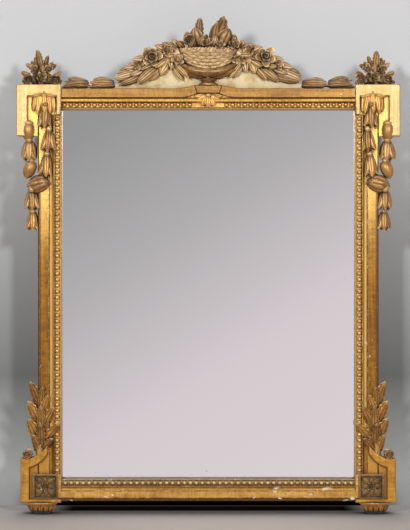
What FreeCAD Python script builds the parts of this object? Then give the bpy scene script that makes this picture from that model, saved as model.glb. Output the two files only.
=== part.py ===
import FreeCAD, Part
import math
import os

Vector = FreeCAD.Vector

# A standing mirror in a carved and gilded wooden frame. Millimetres, Z up, the glass faces -Y.
# Depth is counted forward from the plane of the wall behind the frame.

# The part of the glass that shows.
SIGHT_WIDTH = 706.0
SIGHT_HEIGHT = 888.0

# Frame members.
STILE_WIDTH = 40.0
TOP_RAIL_HEIGHT = 33.0
BOTTOM_RAIL_HEIGHT = 37.0
FRAME_DEPTH = 48.0
BASE_DROP = 3.0
TENON_LENGTH = 26.0
TENON_THICKNESS = 12.0
TENON_SHOULDER = 5.0
TENON_END_GAP = 1.0
PEG_RADIUS = 3.5
PEG_LENGTH = 40.0

# Moulding on the front of stiles and rails.
COVE_WIDTH = 8.0
GROOVE_WIDTH = 5.0
GROOVE_DROP = 4.0
RIDGE_RISE = 4.0
ARRIS = 3.0

# Carved bead strips round the glass.
BEAD_STRIP_WIDTH = 16.0
BEAD_LIP = 4.0
BEAD_PITCH = 14.3
BEAD_DROP = 5.0
BEAD_EDGE_GAP = 1.0

# Raised borders on the corners.
BORDER_RELIEF = 7.0
BORDER_ARRIS = 1.2
EAR_PROJECTION = 51.0
EAR_HEIGHT = 124.0
EAR_RISE = 10.0
EAR_OUTER_LEG = 26.0
EAR_TOP_LEG = 28.0
EAR_INNER_LEG = 11.0
EAR_INNER_DROP = 73.0
BASE_PROJECTION = 41.0
BASE_OUTER_LEG = 21.0
BASE_BOTTOM_LEG = 8.0
BASE_SHOULDER = 106.0
SWEEP_RISE = 35.0
SWEEP_BAND = 22.0
SWEEP_REACH = 24.0
SCROLL_RADIUS = 11.0

# Rosette tiles on the base blocks.
PATERA_SIZE = 60.0
PATERA_FRAME = 4.0
PATERA_RELIEF = 5.0
PATERA_PETALS = 8

# Feet.
FOOT_HEIGHT = 28.0
FOOT_RADIUS = 37.5
FOOT_BASE_RADIUS = 24.0
FOOT_CENTRE_DEPTH = 28.0
FOOT_DOWEL_RADIUS = 6.0
FOOT_DOWEL_LENGTH = 22.0

# Glass, its blocks and the boards behind it.
GLASS_THICKNESS = 4.0
SILVER_THICKNESS = 0.3
GLASS_OVERLAP = 9.0
GLASS_FRONT = 22.0
BLOCK_LENGTH = 50.0
BLOCK_REACH = 14.0
BOARD_THICKNESS = 8.0
BOARD_SETBACK = 3.0
BOARD_COUNT = 4
BOARD_GAP = 1.0
PIN_RADIUS = 1.2
PIN_LENGTH = 22.0
PIN_BITE = 8.0

# Cornice, keystone and crest panel.
CORNICE_HEIGHT = 22.0
CORNICE_RELIEF = 6.0
KEYSTONE_HALF_TOP = 33.0
KEYSTONE_HALF_FOOT = 27.0
KEYSTONE_LIFT = 10.0
KEYSTONE_HEIGHT = 20.0
KEYSTONE_RELIEF = 9.0
TORUS_HEIGHT = 9.0
TORUS_RELIEF = 6.0
CLASP_HALF = 36.0
PANEL_HALF = 224.0
PANEL_HEIGHT = 89.0
PANEL_TOP_HALF = 64.0
PANEL_SETBACK = 10.0
BATTEN_THICKNESS = 18.0
BATTEN_WIDTH = 32.0
BATTEN_OFFSET = 110.0
BATTEN_RISE = 66.0

# Basket in the crest.
CRADLE_FOOT_RADIUS = 20.0
CRADLE_FOOT_HEIGHT = 14.0
CRADLE_BOWL_HEIGHT = 28.0
CRADLE_TOP_RADIUS = 62.0
BASKET_HEIGHT = 51.0
BASKET_HALF_WIDTH = 69.0
BASKET_RELIEF = 45.0
BASKET_TAPER = 27.0
BASKET_STRANDS = 5
STRAND_BULGE = 2.5

# Carved leaves and flowers.
LEAF_STATIONS = ((0.2, 0.72), (0.48, 1.0), (0.78, 0.6))
FINIAL_BACK = 6.0
FINIAL_SETBACK = 12.0
HUSK_LENGTH = 52.0
HUSK_WIDTH = 36.0
GARLAND_LEAF = 46.0
GARLAND_STEPS = 7
GARLAND_BED = 40.0
GARLAND_BED_LOSS = 3.0
HUSK_PITCH = 50.0
CARVING_UNIT = 1.0
CARVING_RIM = 8.0
CARVING_RIDGE = 15.0

# Hanging plates and rings on the backs of the stiles.
HANGER_DROP = 70.0
POCKET_DEPTH = 8.0
POCKET_WIDTH = 30.0
POCKET_ABOVE = 52.0
POCKET_BELOW = 26.0
STRAP_WIDTH = 14.0
STRAP_LENGTH = 46.0
STRAP_THICKNESS = 1.5
RING_WIRE = 2.0
RING_HALF = 12.0
RING_CORNER = 3.5
RING_LEG = 7.0
RING_CLEARANCE = 0.3

# Screws and fits.
SCREW_SHANK = 1.5
SCREW_HEAD = 3.2
SCREW_HEAD_HEIGHT = 1.6
HANGER_SCREW_LENGTH = 18.0
CREST_SCREW_LENGTH = 26.0
FIT_CLEARANCE = 0.1

# Positions that follow from the sizes above.
HALF_SIGHT = SIGHT_WIDTH / 2.0
STILE_IN = HALF_SIGHT + BEAD_STRIP_WIDTH
STILE_OUT = STILE_IN + STILE_WIDTH
EAR_OUT = STILE_OUT + EAR_PROJECTION
BASE_OUT = STILE_OUT + BASE_PROJECTION
BOTTOM_RAIL_LOW = FOOT_HEIGHT + BASE_DROP
BOTTOM_RAIL_HIGH = BOTTOM_RAIL_LOW + BOTTOM_RAIL_HEIGHT
SIGHT_LOW = BOTTOM_RAIL_HIGH + BEAD_STRIP_WIDTH
SIGHT_HIGH = SIGHT_LOW + SIGHT_HEIGHT
TOP_RAIL_LOW = SIGHT_HIGH + BEAD_STRIP_WIDTH
TOP_RAIL_HIGH = TOP_RAIL_LOW + TOP_RAIL_HEIGHT
EAR_HIGH = TOP_RAIL_HIGH + EAR_RISE
EAR_LOW = EAR_HIGH - EAR_HEIGHT
EAR_INNER_LOW = EAR_HIGH - EAR_INNER_DROP
PATERA_LOW = FOOT_HEIGHT + BASE_BOTTOM_LEG
PATERA_HIGH = PATERA_LOW + PATERA_SIZE
SHOULDER_Z = FOOT_HEIGHT + BASE_SHOULDER
SWEEP_Z = SHOULDER_Z + SWEEP_RISE
SWEEP_X = STILE_OUT - SWEEP_REACH
SCROLL_X = BASE_OUT - SCROLL_RADIUS - 5.0
BORDER_FRONT = FRAME_DEPTH + BORDER_RELIEF
CORNICE_LOW = TOP_RAIL_HIGH - CORNICE_HEIGHT
KEYSTONE_LOW = CORNICE_LOW + KEYSTONE_LIFT
KEYSTONE_HIGH = KEYSTONE_LOW + KEYSTONE_HEIGHT
PANEL_FRONT = FRAME_DEPTH - PANEL_SETBACK
PANEL_HIGH = TOP_RAIL_HIGH + PANEL_HEIGHT
CRADLE_HIGH = KEYSTONE_HIGH + CRADLE_FOOT_HEIGHT + CRADLE_BOWL_HEIGHT
BASKET_HIGH = CRADLE_HIGH + BASKET_HEIGHT
FOOT_X = (BASE_OUT + HALF_SIGHT) / 2.0
HANGER_Z = EAR_LOW - HANGER_DROP
HANGER_X = STILE_IN + STILE_WIDTH / 2.0
RING_DEPTH = POCKET_DEPTH - STRAP_THICKNESS - RING_CLEARANCE - RING_WIRE
GLASS_BACK = GLASS_FRONT - GLASS_THICKNESS
BOARD_FRONT = BOARD_SETBACK + BOARD_THICKNESS
TOTAL_DEPTH = PANEL_FRONT + BASKET_RELIEF
BACK_Y = TOTAL_DEPTH / 2.0
MORTISE_MID = FRAME_DEPTH / 2.0


def point(x, depth, z):
    return Vector(x, BACK_Y - depth, z)


def block(x0, x1, near, far, z0, z1):
    corner = point(min(x0, x1), far, min(z0, z1))
    return Part.makeBox(abs(x1 - x0), far - near, abs(z1 - z0), corner)


def outline_wire(start, steps, place):
    """Joins lines and three-point arcs; a step is a point, or a middle point and an end point."""
    edges = []
    here = start
    for step in list(steps) + [start]:
        if isinstance(step[0], tuple):
            middle, end = step
            edges.append(Part.Arc(place(here), place(middle), place(end)).toShape())
        else:
            end = step
            edges.append(Part.makeLine(place(here), place(end)))
        here = end
    return Part.Wire(edges)


def slab(start, steps, near, far):
    """A front-view outline given thickness from one depth to another."""
    wire = outline_wire(start, steps, lambda p: point(p[0], near, p[1]))
    return Part.Face(wire).extrude(Vector(0, near - far, 0))


def turned(start, steps, x, depth):
    """A radius-and-height profile turned about an upright axis."""
    wire = outline_wire(start, steps, lambda p: point(x + p[0], depth, p[1]))
    return Part.Face(wire).revolve(point(x, depth, 0), Vector(0, 0, 1), 360)


def across_rod(x, depth, z, radius, length):
    """A round rod that runs forward from the given depth."""
    return Part.makeCylinder(radius, length, point(x, depth, z), Vector(0, -1, 0))


def joined(shapes):
    first, rest = shapes[0], shapes[1:]
    if not rest:
        return first
    return first.multiFuse(rest).removeSplitter()


def without(shape, cutters):
    for cutter in cutters:
        shape = shape.cut(cutter)
    return shape


def mirrored(shape):
    return shape.mirror(Vector(0, 0, 0), Vector(1, 0, 0))


def soften(shape, depth, size):
    """Takes the sharp edge off the front face at the given depth."""
    y = BACK_Y - depth
    edges = [e for e in shape.Edges if all(abs(v.Y - y) < 0.001 for v in e.Vertexes)]
    return shape.makeChamfer(size, edges)


def carved_leaf(root, tip, width, ground, rim, ridge):
    """A flat-backed leaf with upright sides up to the rim and a raised midrib."""
    along = (tip[0] - root[0], tip[1] - root[1])
    length = math.hypot(along[0], along[1])
    side = (-along[1] / length * width / 2.0, along[0] / length * width / 2.0)

    def spot(share, swing, depth):
        x = root[0] + along[0] * share + side[0] * swing
        z = root[1] + along[1] * share + side[1] * swing
        return point(x, depth, z)

    left = [(share, swing) for share, swing in LEAF_STATIONS]
    right = [(share, -swing) for share, swing in reversed(LEAF_STATIONS)]
    rounds = [(0.0, 0.0)] + left + [(1.0, 0.0)] + right
    pairs = list(zip(rounds, rounds[1:] + rounds[:1]))
    corners = [[spot(s, w, ground) for s, w in rounds]]
    for (s0, w0), (s1, w1) in pairs:
        quad = [spot(s0, w0, ground), spot(s1, w1, ground), spot(s1, w1, rim), spot(s0, w0, rim)]
        corners.append(quad)
        crest0 = spot(s0, 0, ridge) if w0 else None
        crest1 = spot(s1, 0, ridge) if w1 else None
        if crest0 and crest1:
            corners.append([spot(s0, w0, rim), spot(s1, w1, rim), crest1])
            corners.append([spot(s0, w0, rim), crest1, crest0])
        else:
            corners.append([spot(s0, w0, rim), spot(s1, w1, rim), crest0 or crest1])
    faces = [Part.Face(Part.makePolygon(ring + ring[:1])) for ring in corners]
    solid = Part.Solid(Part.Shell(faces))
    if solid.Volume < 0:
        solid.reverse()
    return solid


def carved_flower(centre, radius, petals, ground, rim, ridge, turn=0.0):
    """Petals set round a middle, all on one flat ground, with a button in the centre."""
    shapes = []
    for k in range(petals):
        angle = math.radians(turn + 360.0 * k / petals)
        tip = (centre[0] + radius * math.cos(angle), centre[1] + radius * math.sin(angle))
        root = (centre[0] - 2.0 * math.cos(angle), centre[1] - 2.0 * math.sin(angle))
        shapes.append(carved_leaf(root, tip, 4.6 * radius / petals, ground, rim, ridge))
    button = across_rod(centre[0], ground, centre[1], 0.28 * radius, ridge - ground + 1.0)
    return shapes + [button]


def frame_moulding(width):
    """Section across a stile or bottom rail, from its inner edge outward."""
    ridge = FRAME_DEPTH + RIDGE_RISE
    floor = FRAME_DEPTH - GROOVE_DROP
    step = COVE_WIDTH + GROOVE_WIDTH
    hollow = ((0.42 * COVE_WIDTH, floor + 0.34 * (ridge - floor)), (COVE_WIDTH, floor))
    steps = [(0, ridge), (1.5, ridge), hollow, (step, floor), (step, FRAME_DEPTH)]
    steps += [(width - ARRIS, FRAME_DEPTH), (width, FRAME_DEPTH - ARRIS), (width, 0)]
    return (0, 0), steps


def left_stile(cutters):
    start, steps = frame_moulding(STILE_WIDTH)
    wire = outline_wire(start, steps, lambda p: point(-STILE_IN - p[0], p[1], PATERA_HIGH))
    moulded = Part.Face(wire).extrude(Vector(0, 0, EAR_INNER_LOW - PATERA_HIGH))
    foot_end = block(-STILE_OUT, -STILE_IN, 0, FRAME_DEPTH, FOOT_HEIGHT, PATERA_HIGH)
    head_end = block(-STILE_OUT, -STILE_IN, 0, FRAME_DEPTH, EAR_INNER_LOW, EAR_HIGH)
    return without(joined([moulded, foot_end, head_end]), cutters)


def tenon(low, high, extra):
    near = MORTISE_MID - TENON_THICKNESS / 2.0
    far = MORTISE_MID + TENON_THICKNESS / 2.0
    reach = STILE_IN + TENON_LENGTH + extra
    return block(-reach, -STILE_IN, near, far, low + TENON_SHOULDER, high - TENON_SHOULDER)


def peg(low, high, clearance):
    x = -STILE_IN - TENON_LENGTH / 2.0
    return across_rod(x, 0, (low + high) / 2.0, PEG_RADIUS + clearance, PEG_LENGTH + clearance)


def bottom_rail(peg_holes):
    start, steps = frame_moulding(BOTTOM_RAIL_HEIGHT)
    wire = outline_wire(start, steps, lambda p: point(-HALF_SIGHT, p[1], BOTTOM_RAIL_HIGH - p[0]))
    moulded = Part.Face(wire).extrude(Vector(SIGHT_WIDTH, 0, 0))
    body = block(-STILE_IN, STILE_IN, 0, FRAME_DEPTH - ARRIS, BOTTOM_RAIL_LOW, BOTTOM_RAIL_HIGH)
    ends = block(-STILE_IN, -HALF_SIGHT, 0, FRAME_DEPTH, BOTTOM_RAIL_LOW, BOTTOM_RAIL_HIGH)
    middle = without(body, [block(-HALF_SIGHT, HALF_SIGHT, 0, FRAME_DEPTH, 0, SIGHT_LOW)])
    tongue = tenon(BOTTOM_RAIL_LOW, BOTTOM_RAIL_HIGH, 0)
    rail = joined([moulded, ends, mirrored(ends), tongue, mirrored(tongue)] + middle.Solids)
    return without(rail, peg_holes)


def top_rail(cutters):
    high = TOP_RAIL_HIGH
    torus_high = TOP_RAIL_LOW + TORUS_HEIGHT
    quirk_high = torus_high + 2.0
    side = FRAME_DEPTH + TORUS_RELIEF - TORUS_HEIGHT / 2.0
    bulge = (FRAME_DEPTH + TORUS_RELIEF, TOP_RAIL_LOW + TORUS_HEIGHT / 2.0)
    quirk = FRAME_DEPTH - 2.0
    steps = [(side, TOP_RAIL_LOW), (bulge, (side, torus_high)), (quirk, torus_high), (quirk, quirk_high)]
    steps += [(FRAME_DEPTH, quirk_high), (FRAME_DEPTH, high), (0, high)]
    place = lambda p: point(-HALF_SIGHT, p[0], p[1])
    moulded = Part.Face(outline_wire((0, TOP_RAIL_LOW), steps, place)).extrude(Vector(SIGHT_WIDTH, 0, 0))
    ends = block(-STILE_IN, -HALF_SIGHT, 0, FRAME_DEPTH, TOP_RAIL_LOW, high)
    tongue = tenon(TOP_RAIL_LOW, high, 0)
    return without(joined([moulded, ends, mirrored(ends), tongue, mirrored(tongue)]), cutters)


def bead_centres(low, high):
    count = int((high - low) // BEAD_PITCH)
    first = (low + high - (count - 1) * BEAD_PITCH) / 2.0
    return [first + k * BEAD_PITCH for k in range(count)]


def bead_strip(place, along, length, beads):
    """A strip with a lip next to the glass and a row of beads in a channel behind the lip."""
    floor = FRAME_DEPTH - BEAD_DROP
    lip = ((BEAD_LIP / 2.0, floor + 2.4), (BEAD_LIP, floor))
    steps = [(0, floor), lip, (BEAD_STRIP_WIDTH, floor), (BEAD_STRIP_WIDTH, GLASS_FRONT)]
    body = Part.Face(outline_wire((0, GLASS_FRONT), steps, place)).extrude(along * length)
    radius = (BEAD_STRIP_WIDTH - BEAD_LIP - BEAD_EDGE_GAP) / 2.0 - BEAD_EDGE_GAP / 2.0
    middle = (BEAD_STRIP_WIDTH + BEAD_LIP) / 2.0
    row = [Part.makeSphere(radius, place((middle, floor + 0.55 * radius)) + along * b) for b in beads]
    return joined([body] + row)


def left_bead_strip():
    place = lambda p: point(-HALF_SIGHT - p[0], p[1], PATERA_HIGH)
    length = EAR_INNER_LOW - PATERA_HIGH
    strip = bead_strip(place, Vector(0, 0, 1), length, bead_centres(0, length))
    plain = [(BOTTOM_RAIL_HIGH, PATERA_HIGH), (EAR_INNER_LOW, TOP_RAIL_LOW)]
    ends = [block(-STILE_IN, -HALF_SIGHT, GLASS_FRONT, FRAME_DEPTH, z0, z1) for z0, z1 in plain]
    return joined([strip] + ends)


def bottom_bead_strip():
    place = lambda p: point(-HALF_SIGHT, p[1], SIGHT_LOW - p[0])
    return bead_strip(place, Vector(1, 0, 0), SIGHT_WIDTH, bead_centres(0, SIGHT_WIDTH))


def top_bead_strip():
    place = lambda p: point(-HALF_SIGHT, p[1], SIGHT_HIGH + p[0])
    left = bead_centres(0, HALF_SIGHT - CLASP_HALF)
    right = [SIGHT_WIDTH - b for b in left]
    return bead_strip(place, Vector(1, 0, 0), SIGHT_WIDTH, left + right)


def left_ear_block():
    return block(-EAR_OUT, -STILE_OUT, 0, FRAME_DEPTH, EAR_LOW, EAR_HIGH)


def left_ear_border():
    inner_x = -HALF_SIGHT - EAR_INNER_LEG
    outer_x = -EAR_OUT + EAR_OUTER_LEG
    top_z = EAR_HIGH - EAR_TOP_LEG
    steps = [(-EAR_OUT, EAR_HIGH), (-HALF_SIGHT, EAR_HIGH), (-HALF_SIGHT, EAR_INNER_LOW)]
    steps += [(inner_x, EAR_INNER_LOW), (inner_x, top_z), (outer_x, top_z), (outer_x, EAR_LOW)]
    border = slab((-EAR_OUT, EAR_LOW), steps, FRAME_DEPTH, BORDER_FRONT)
    return soften(border, BORDER_FRONT, BORDER_ARRIS)


def sweep_line(drop):
    """The hollow curve from the base shoulder up on to the stile, lowered by the given amount."""
    start = (-BASE_OUT + BASE_OUTER_LEG, SHOULDER_Z - drop)
    end = (-SWEEP_X, SWEEP_Z - drop)
    middle = (start[0] + 0.6 * (end[0] - start[0]), start[1] + 0.38 * SWEEP_RISE)
    return start, middle, end


def left_base_block(cutters):
    start, middle, end = sweep_line(0)
    steps = [(-BASE_OUT, SHOULDER_Z), start, (middle, end), (-SWEEP_X, FOOT_HEIGHT)]
    full = slab((-BASE_OUT, FOOT_HEIGHT), steps, 0, FRAME_DEPTH)
    beyond = block(-STILE_OUT, 0, 0, FRAME_DEPTH, 0, SWEEP_Z + 1.0)
    return without(full, [beyond] + cutters)


def left_base_border():
    start, middle, end = sweep_line(0)
    low_start, low_middle, low_end = sweep_line(SWEEP_BAND)
    steps = [(-BASE_OUT, SHOULDER_Z), start, (middle, end), low_end, (low_middle, low_start)]
    steps += [(low_start[0], PATERA_LOW), (-HALF_SIGHT, PATERA_LOW), (-HALF_SIGHT, FOOT_HEIGHT)]
    border = slab((-BASE_OUT, FOOT_HEIGHT), steps, FRAME_DEPTH, BORDER_FRONT)
    border = soften(border, BORDER_FRONT, BORDER_ARRIS)
    scroll_z = SHOULDER_Z + 0.9 * SCROLL_RADIUS
    scroll = across_rod(-SCROLL_X, FRAME_DEPTH, scroll_z, SCROLL_RADIUS, BORDER_RELIEF + 2.0)
    eye = across_rod(-SCROLL_X, FRAME_DEPTH, scroll_z, 0.4 * SCROLL_RADIUS, BORDER_RELIEF + 4.0)
    tail = across_rod(-SCROLL_X, FRAME_DEPTH / 3.0, scroll_z, SCROLL_RADIUS, FRAME_DEPTH * 2.0 / 3.0)
    rest = block(-BASE_OUT, -STILE_OUT, 0, FRAME_DEPTH, 0, SHOULDER_Z)
    return joined([border, scroll, eye, tail.cut(rest)])


def left_patera():
    right = -HALF_SIGHT - BEAD_STRIP_WIDTH / 2.0
    left = right - PATERA_SIZE
    front = FRAME_DEPTH + PATERA_RELIEF
    floor = FRAME_DEPTH + 1.5
    inset = PATERA_FRAME
    plate = block(left, right, FRAME_DEPTH, front, PATERA_LOW, PATERA_HIGH)
    hollow = block(left + inset, right - inset, floor, front, PATERA_LOW + inset, PATERA_HIGH - inset)
    tile = soften(plate.cut(hollow), front, BORDER_ARRIS)
    centre = ((left + right) / 2.0, (PATERA_LOW + PATERA_HIGH) / 2.0)
    reach = PATERA_SIZE / 2.0 - inset - 1.0
    petals = carved_flower(centre, reach, PATERA_PETALS, FRAME_DEPTH, floor + 1.0, front + 1.0, 22.5)
    return joined([tile] + petals)


def foot_dowel(clearance):
    base = point(-FOOT_X, FOOT_CENTRE_DEPTH, FOOT_HEIGHT)
    return Part.makeCylinder(FOOT_DOWEL_RADIUS + clearance, FOOT_DOWEL_LENGTH + clearance, base)


def left_foot():
    swell = ((0.88 * FOOT_RADIUS, 0.4 * FOOT_HEIGHT), (FOOT_RADIUS, 0.82 * FOOT_HEIGHT))
    steps = [(FOOT_BASE_RADIUS, 0), swell, (FOOT_RADIUS, 0.9 * FOOT_HEIGHT)]
    steps += [(FOOT_RADIUS - 3.0, FOOT_HEIGHT), (0, FOOT_HEIGHT)]
    bun = turned((0, 0), steps, -FOOT_X, FOOT_CENTRE_DEPTH)
    behind = block(-FOOT_X - 2 * FOOT_RADIUS, -FOOT_X + 2 * FOOT_RADIUS, -2 * FOOT_RADIUS, 0, 0, FOOT_HEIGHT)
    return joined([bun.cut(behind), foot_dowel(0)])


def glass_plate(near, far):
    half = HALF_SIGHT + GLASS_OVERLAP
    return block(-half, half, near, far, SIGHT_LOW - GLASS_OVERLAP, SIGHT_HIGH + GLASS_OVERLAP)


def glass_blocks():
    near, far = BOARD_FRONT, GLASS_BACK - SILVER_THICKNESS
    half = BLOCK_LENGTH / 2.0
    shapes = []
    for share in (0.15, 0.5, 0.85):
        z = SIGHT_LOW + share * SIGHT_HEIGHT
        x = -HALF_SIGHT + share * SIGHT_WIDTH
        side = block(-STILE_IN, -STILE_IN + BLOCK_REACH, near, far, z - half, z + half)
        low = block(x - half, x + half, near, far, BOTTOM_RAIL_HIGH, BOTTOM_RAIL_HIGH + BLOCK_REACH)
        high = block(x - half, x + half, near, far, TOP_RAIL_LOW - BLOCK_REACH, TOP_RAIL_LOW)
        shapes += [side, mirrored(side), low, high]
    return Part.makeCompound(shapes)


def setting_blocks():
    x = HALF_SIGHT / 2.0
    half = BLOCK_LENGTH / 2.0
    one = block(x - half, x + half, GLASS_BACK, GLASS_FRONT, BOTTOM_RAIL_HIGH, SIGHT_LOW - GLASS_OVERLAP)
    return Part.makeCompound([one, mirrored(one)])


def board_span(k):
    low, high = BOTTOM_RAIL_HIGH + BOARD_GAP, TOP_RAIL_LOW - BOARD_GAP
    pitch = (high - low + BOARD_GAP) / BOARD_COUNT
    return low + k * pitch, low + (k + 1) * pitch - BOARD_GAP


def back_board(k):
    low, high = board_span(k)
    half = STILE_IN - BOARD_GAP
    return block(-half, half, BOARD_SETBACK, BOARD_FRONT, low, high)


def board_pins():
    shapes = []
    for k in range(BOARD_COUNT):
        low, high = board_span(k)
        for share in (0.25, 0.75):
            base = point(-STILE_IN - PIN_BITE, BOARD_SETBACK - PIN_RADIUS, low + share * (high - low))
            pin = Part.makeCylinder(PIN_RADIUS, PIN_LENGTH, base, Vector(1, 0, 0))
            shapes += [pin, mirrored(pin)]
    return Part.makeCompound(shapes)


def left_cornice():
    front = FRAME_DEPTH + CORNICE_RELIEF
    foot = (-KEYSTONE_HALF_FOOT, KEYSTONE_LOW)
    head = (-KEYSTONE_HALF_TOP, KEYSTONE_HIGH)
    rise = ((-1.7 * KEYSTONE_HALF_FOOT, CORNICE_LOW + 0.28 * KEYSTONE_LIFT), foot)
    fall = ((-1.7 * KEYSTONE_HALF_TOP, TOP_RAIL_HIGH + 0.34 * (KEYSTONE_HIGH - TOP_RAIL_HIGH)),
            (-2.6 * KEYSTONE_HALF_TOP, TOP_RAIL_HIGH))
    steps = [(-2.5 * KEYSTONE_HALF_FOOT, CORNICE_LOW), rise, head, fall, (-HALF_SIGHT, TOP_RAIL_HIGH)]
    return soften(slab((-HALF_SIGHT, CORNICE_LOW), steps, FRAME_DEPTH, front), front, BORDER_ARRIS)


def keystone():
    front = FRAME_DEPTH + KEYSTONE_RELIEF
    steps = [(KEYSTONE_HALF_FOOT, KEYSTONE_LOW), (KEYSTONE_HALF_TOP, KEYSTONE_HIGH)]
    steps += [(-KEYSTONE_HALF_TOP, KEYSTONE_HIGH)]
    return soften(slab((-KEYSTONE_HALF_FOOT, KEYSTONE_LOW), steps, FRAME_DEPTH, front), front, 2.0)


def rail_clasp(cutters):
    top = KEYSTONE_LOW - 2.0
    low = SIGHT_HIGH + BEAD_LIP + 1.0
    ground, rim, ridge = FRAME_DEPTH - 4.0, FRAME_DEPTH + 6.5, FRAME_DEPTH + 11.0
    shapes = [carved_leaf((0, top), (0, low), 0.62 * CLASP_HALF, ground, rim, ridge + 1.0)]
    for way in (-1, 1):
        outer, inner = (way * 0.94 * CLASP_HALF, low + 9.0), (way * 0.58 * CLASP_HALF, low + 1.0)
        shapes.append(carved_leaf((0, top - 3.0), outer, 15.0, ground, rim, ridge))
        shapes.append(carved_leaf((0, top), inner, 16.0, ground, rim, ridge))
    return without(joined(shapes), cutters)


def crest_panel(holes):
    shoulder = TOP_RAIL_HIGH + 10.0
    hollow = (-0.62 * PANEL_HALF, TOP_RAIL_HIGH + 0.42 * PANEL_HEIGHT)
    hollow_right = (-hollow[0], hollow[1])
    side_z = PANEL_HIGH - 10.0
    steps = [(PANEL_HALF, TOP_RAIL_HIGH), (PANEL_HALF, shoulder), (hollow_right, (PANEL_TOP_HALF, side_z))]
    steps += [(PANEL_TOP_HALF, PANEL_HIGH), (-PANEL_TOP_HALF, PANEL_HIGH), (-PANEL_TOP_HALF, side_z)]
    steps += [(hollow, (-PANEL_HALF, shoulder))]
    return without(slab((-PANEL_HALF, TOP_RAIL_HIGH), steps, BATTEN_THICKNESS, PANEL_FRONT), holes)


def batten_box():
    x0, x1 = -BATTEN_OFFSET - BATTEN_WIDTH / 2.0, -BATTEN_OFFSET + BATTEN_WIDTH / 2.0
    return block(x0, x1, 0, BATTEN_THICKNESS, TOP_RAIL_LOW, TOP_RAIL_HIGH + BATTEN_RISE)


def screw(x, depth, z, length, clearance):
    """A slotted screw driven forward from the given depth, head to the back."""
    head = across_rod(x, depth, z, SCREW_HEAD + clearance, SCREW_HEAD_HEIGHT)
    shank = across_rod(x, depth, z, SCREW_SHANK + clearance, SCREW_HEAD_HEIGHT + length + clearance)
    return head.fuse(shank)


def crest_screws(clearance):
    heights = [TOP_RAIL_LOW + TOP_RAIL_HEIGHT / 2.0]
    heights += [TOP_RAIL_HIGH + share * BATTEN_RISE for share in (0.3, 0.75)]
    left = [screw(-BATTEN_OFFSET, 0, z, CREST_SCREW_LENGTH, clearance) for z in heights]
    return left + [mirrored(s) for s in left]


def relief_radius(half_width, relief):
    """Radius of a round body that shows the given width and height above a flat ground."""
    return (half_width ** 2 + relief ** 2) / (2.0 * relief)


BASKET_RADIUS = relief_radius(BASKET_HALF_WIDTH, BASKET_RELIEF)
BASKET_AXIS = PANEL_FRONT + BASKET_RELIEF - BASKET_RADIUS


def in_front(shape):
    size = 4.0 * BASKET_RADIUS
    return shape.cut(block(-size, size, PANEL_FRONT - size, PANEL_FRONT, 0, BASKET_HIGH + size))


def basket():
    radii = []
    for k in range(BASKET_STRANDS + 1):
        share = 1.0 - k / BASKET_STRANDS
        radii.append(BASKET_RADIUS - STRAND_BULGE - BASKET_TAPER * share ** 1.9)
    step = BASKET_HEIGHT / BASKET_STRANDS
    steps = [(radii[0], CRADLE_HIGH)]
    for k in range(BASKET_STRANDS):
        low = CRADLE_HIGH + k * step
        steps.append(((radii[k + 1] + STRAND_BULGE, low + 0.5 * step), (radii[k + 1], low + step)))
    steps.append((0, BASKET_HIGH))
    return in_front(turned((0, CRADLE_HIGH), steps, 0, BASKET_AXIS))


def basket_cradle():
    foot_high = KEYSTONE_HIGH + CRADLE_FOOT_HEIGHT
    neck = 0.5 * CRADLE_FOOT_RADIUS
    pinch = ((neck - 1.0, foot_high - 5.0), (neck + 2.0, foot_high + 2.0))
    ring = [(CRADLE_FOOT_RADIUS, KEYSTONE_HIGH), (CRADLE_FOOT_RADIUS, KEYSTONE_HIGH + 4.0), pinch]
    stem = in_front(turned((0, KEYSTONE_HIGH), ring + [(0, foot_high + 2.0)], 0, PANEL_FRONT))
    throat = relief_radius(2.0 * CRADLE_FOOT_RADIUS, 20.0)
    swell = (CRADLE_TOP_RADIUS - 4.0, foot_high + 9.0)
    bowl = [(throat, foot_high), (swell, (CRADLE_TOP_RADIUS, CRADLE_HIGH))]
    cup = in_front(turned((0, foot_high), bowl + [(0, CRADLE_HIGH)], 0, BASKET_AXIS))
    horns = []
    for way in (-1, 1):
        root, tip = (way * 30.0, foot_high + 4.0), (way * 86.0, CRADLE_HIGH + 24.0)
        horns.append(carved_leaf(root, tip, 26.0, PANEL_FRONT, PANEL_FRONT + 9.0, PANEL_FRONT + 16.0))
    return joined([stem, cup] + horns).cut(basket())


def carving(items, ground, rim, ridge):
    """Joins a list of leaves and flowers on one ground."""
    shapes = []
    for item in items:
        if len(item) == 3:
            shapes.append(carved_leaf(item[0], item[1], item[2], ground, rim, ridge))
        else:
            centre, radius = item
            shapes += carved_flower(centre, radius, 6, ground, rim + 2.0, ridge + 3.0, 15.0)
    return shapes


def sprig(x, z, items):
    """Leaves and flowers whose places and sizes are counted in carving units from one point."""
    placed = []
    for item in items:
        spots = [(x + CARVING_UNIT * spot[0], z + CARVING_UNIT * spot[1]) for spot in item[:-1]]
        placed.append(tuple(spots) + (CARVING_UNIT * item[-1],))
    return placed


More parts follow.
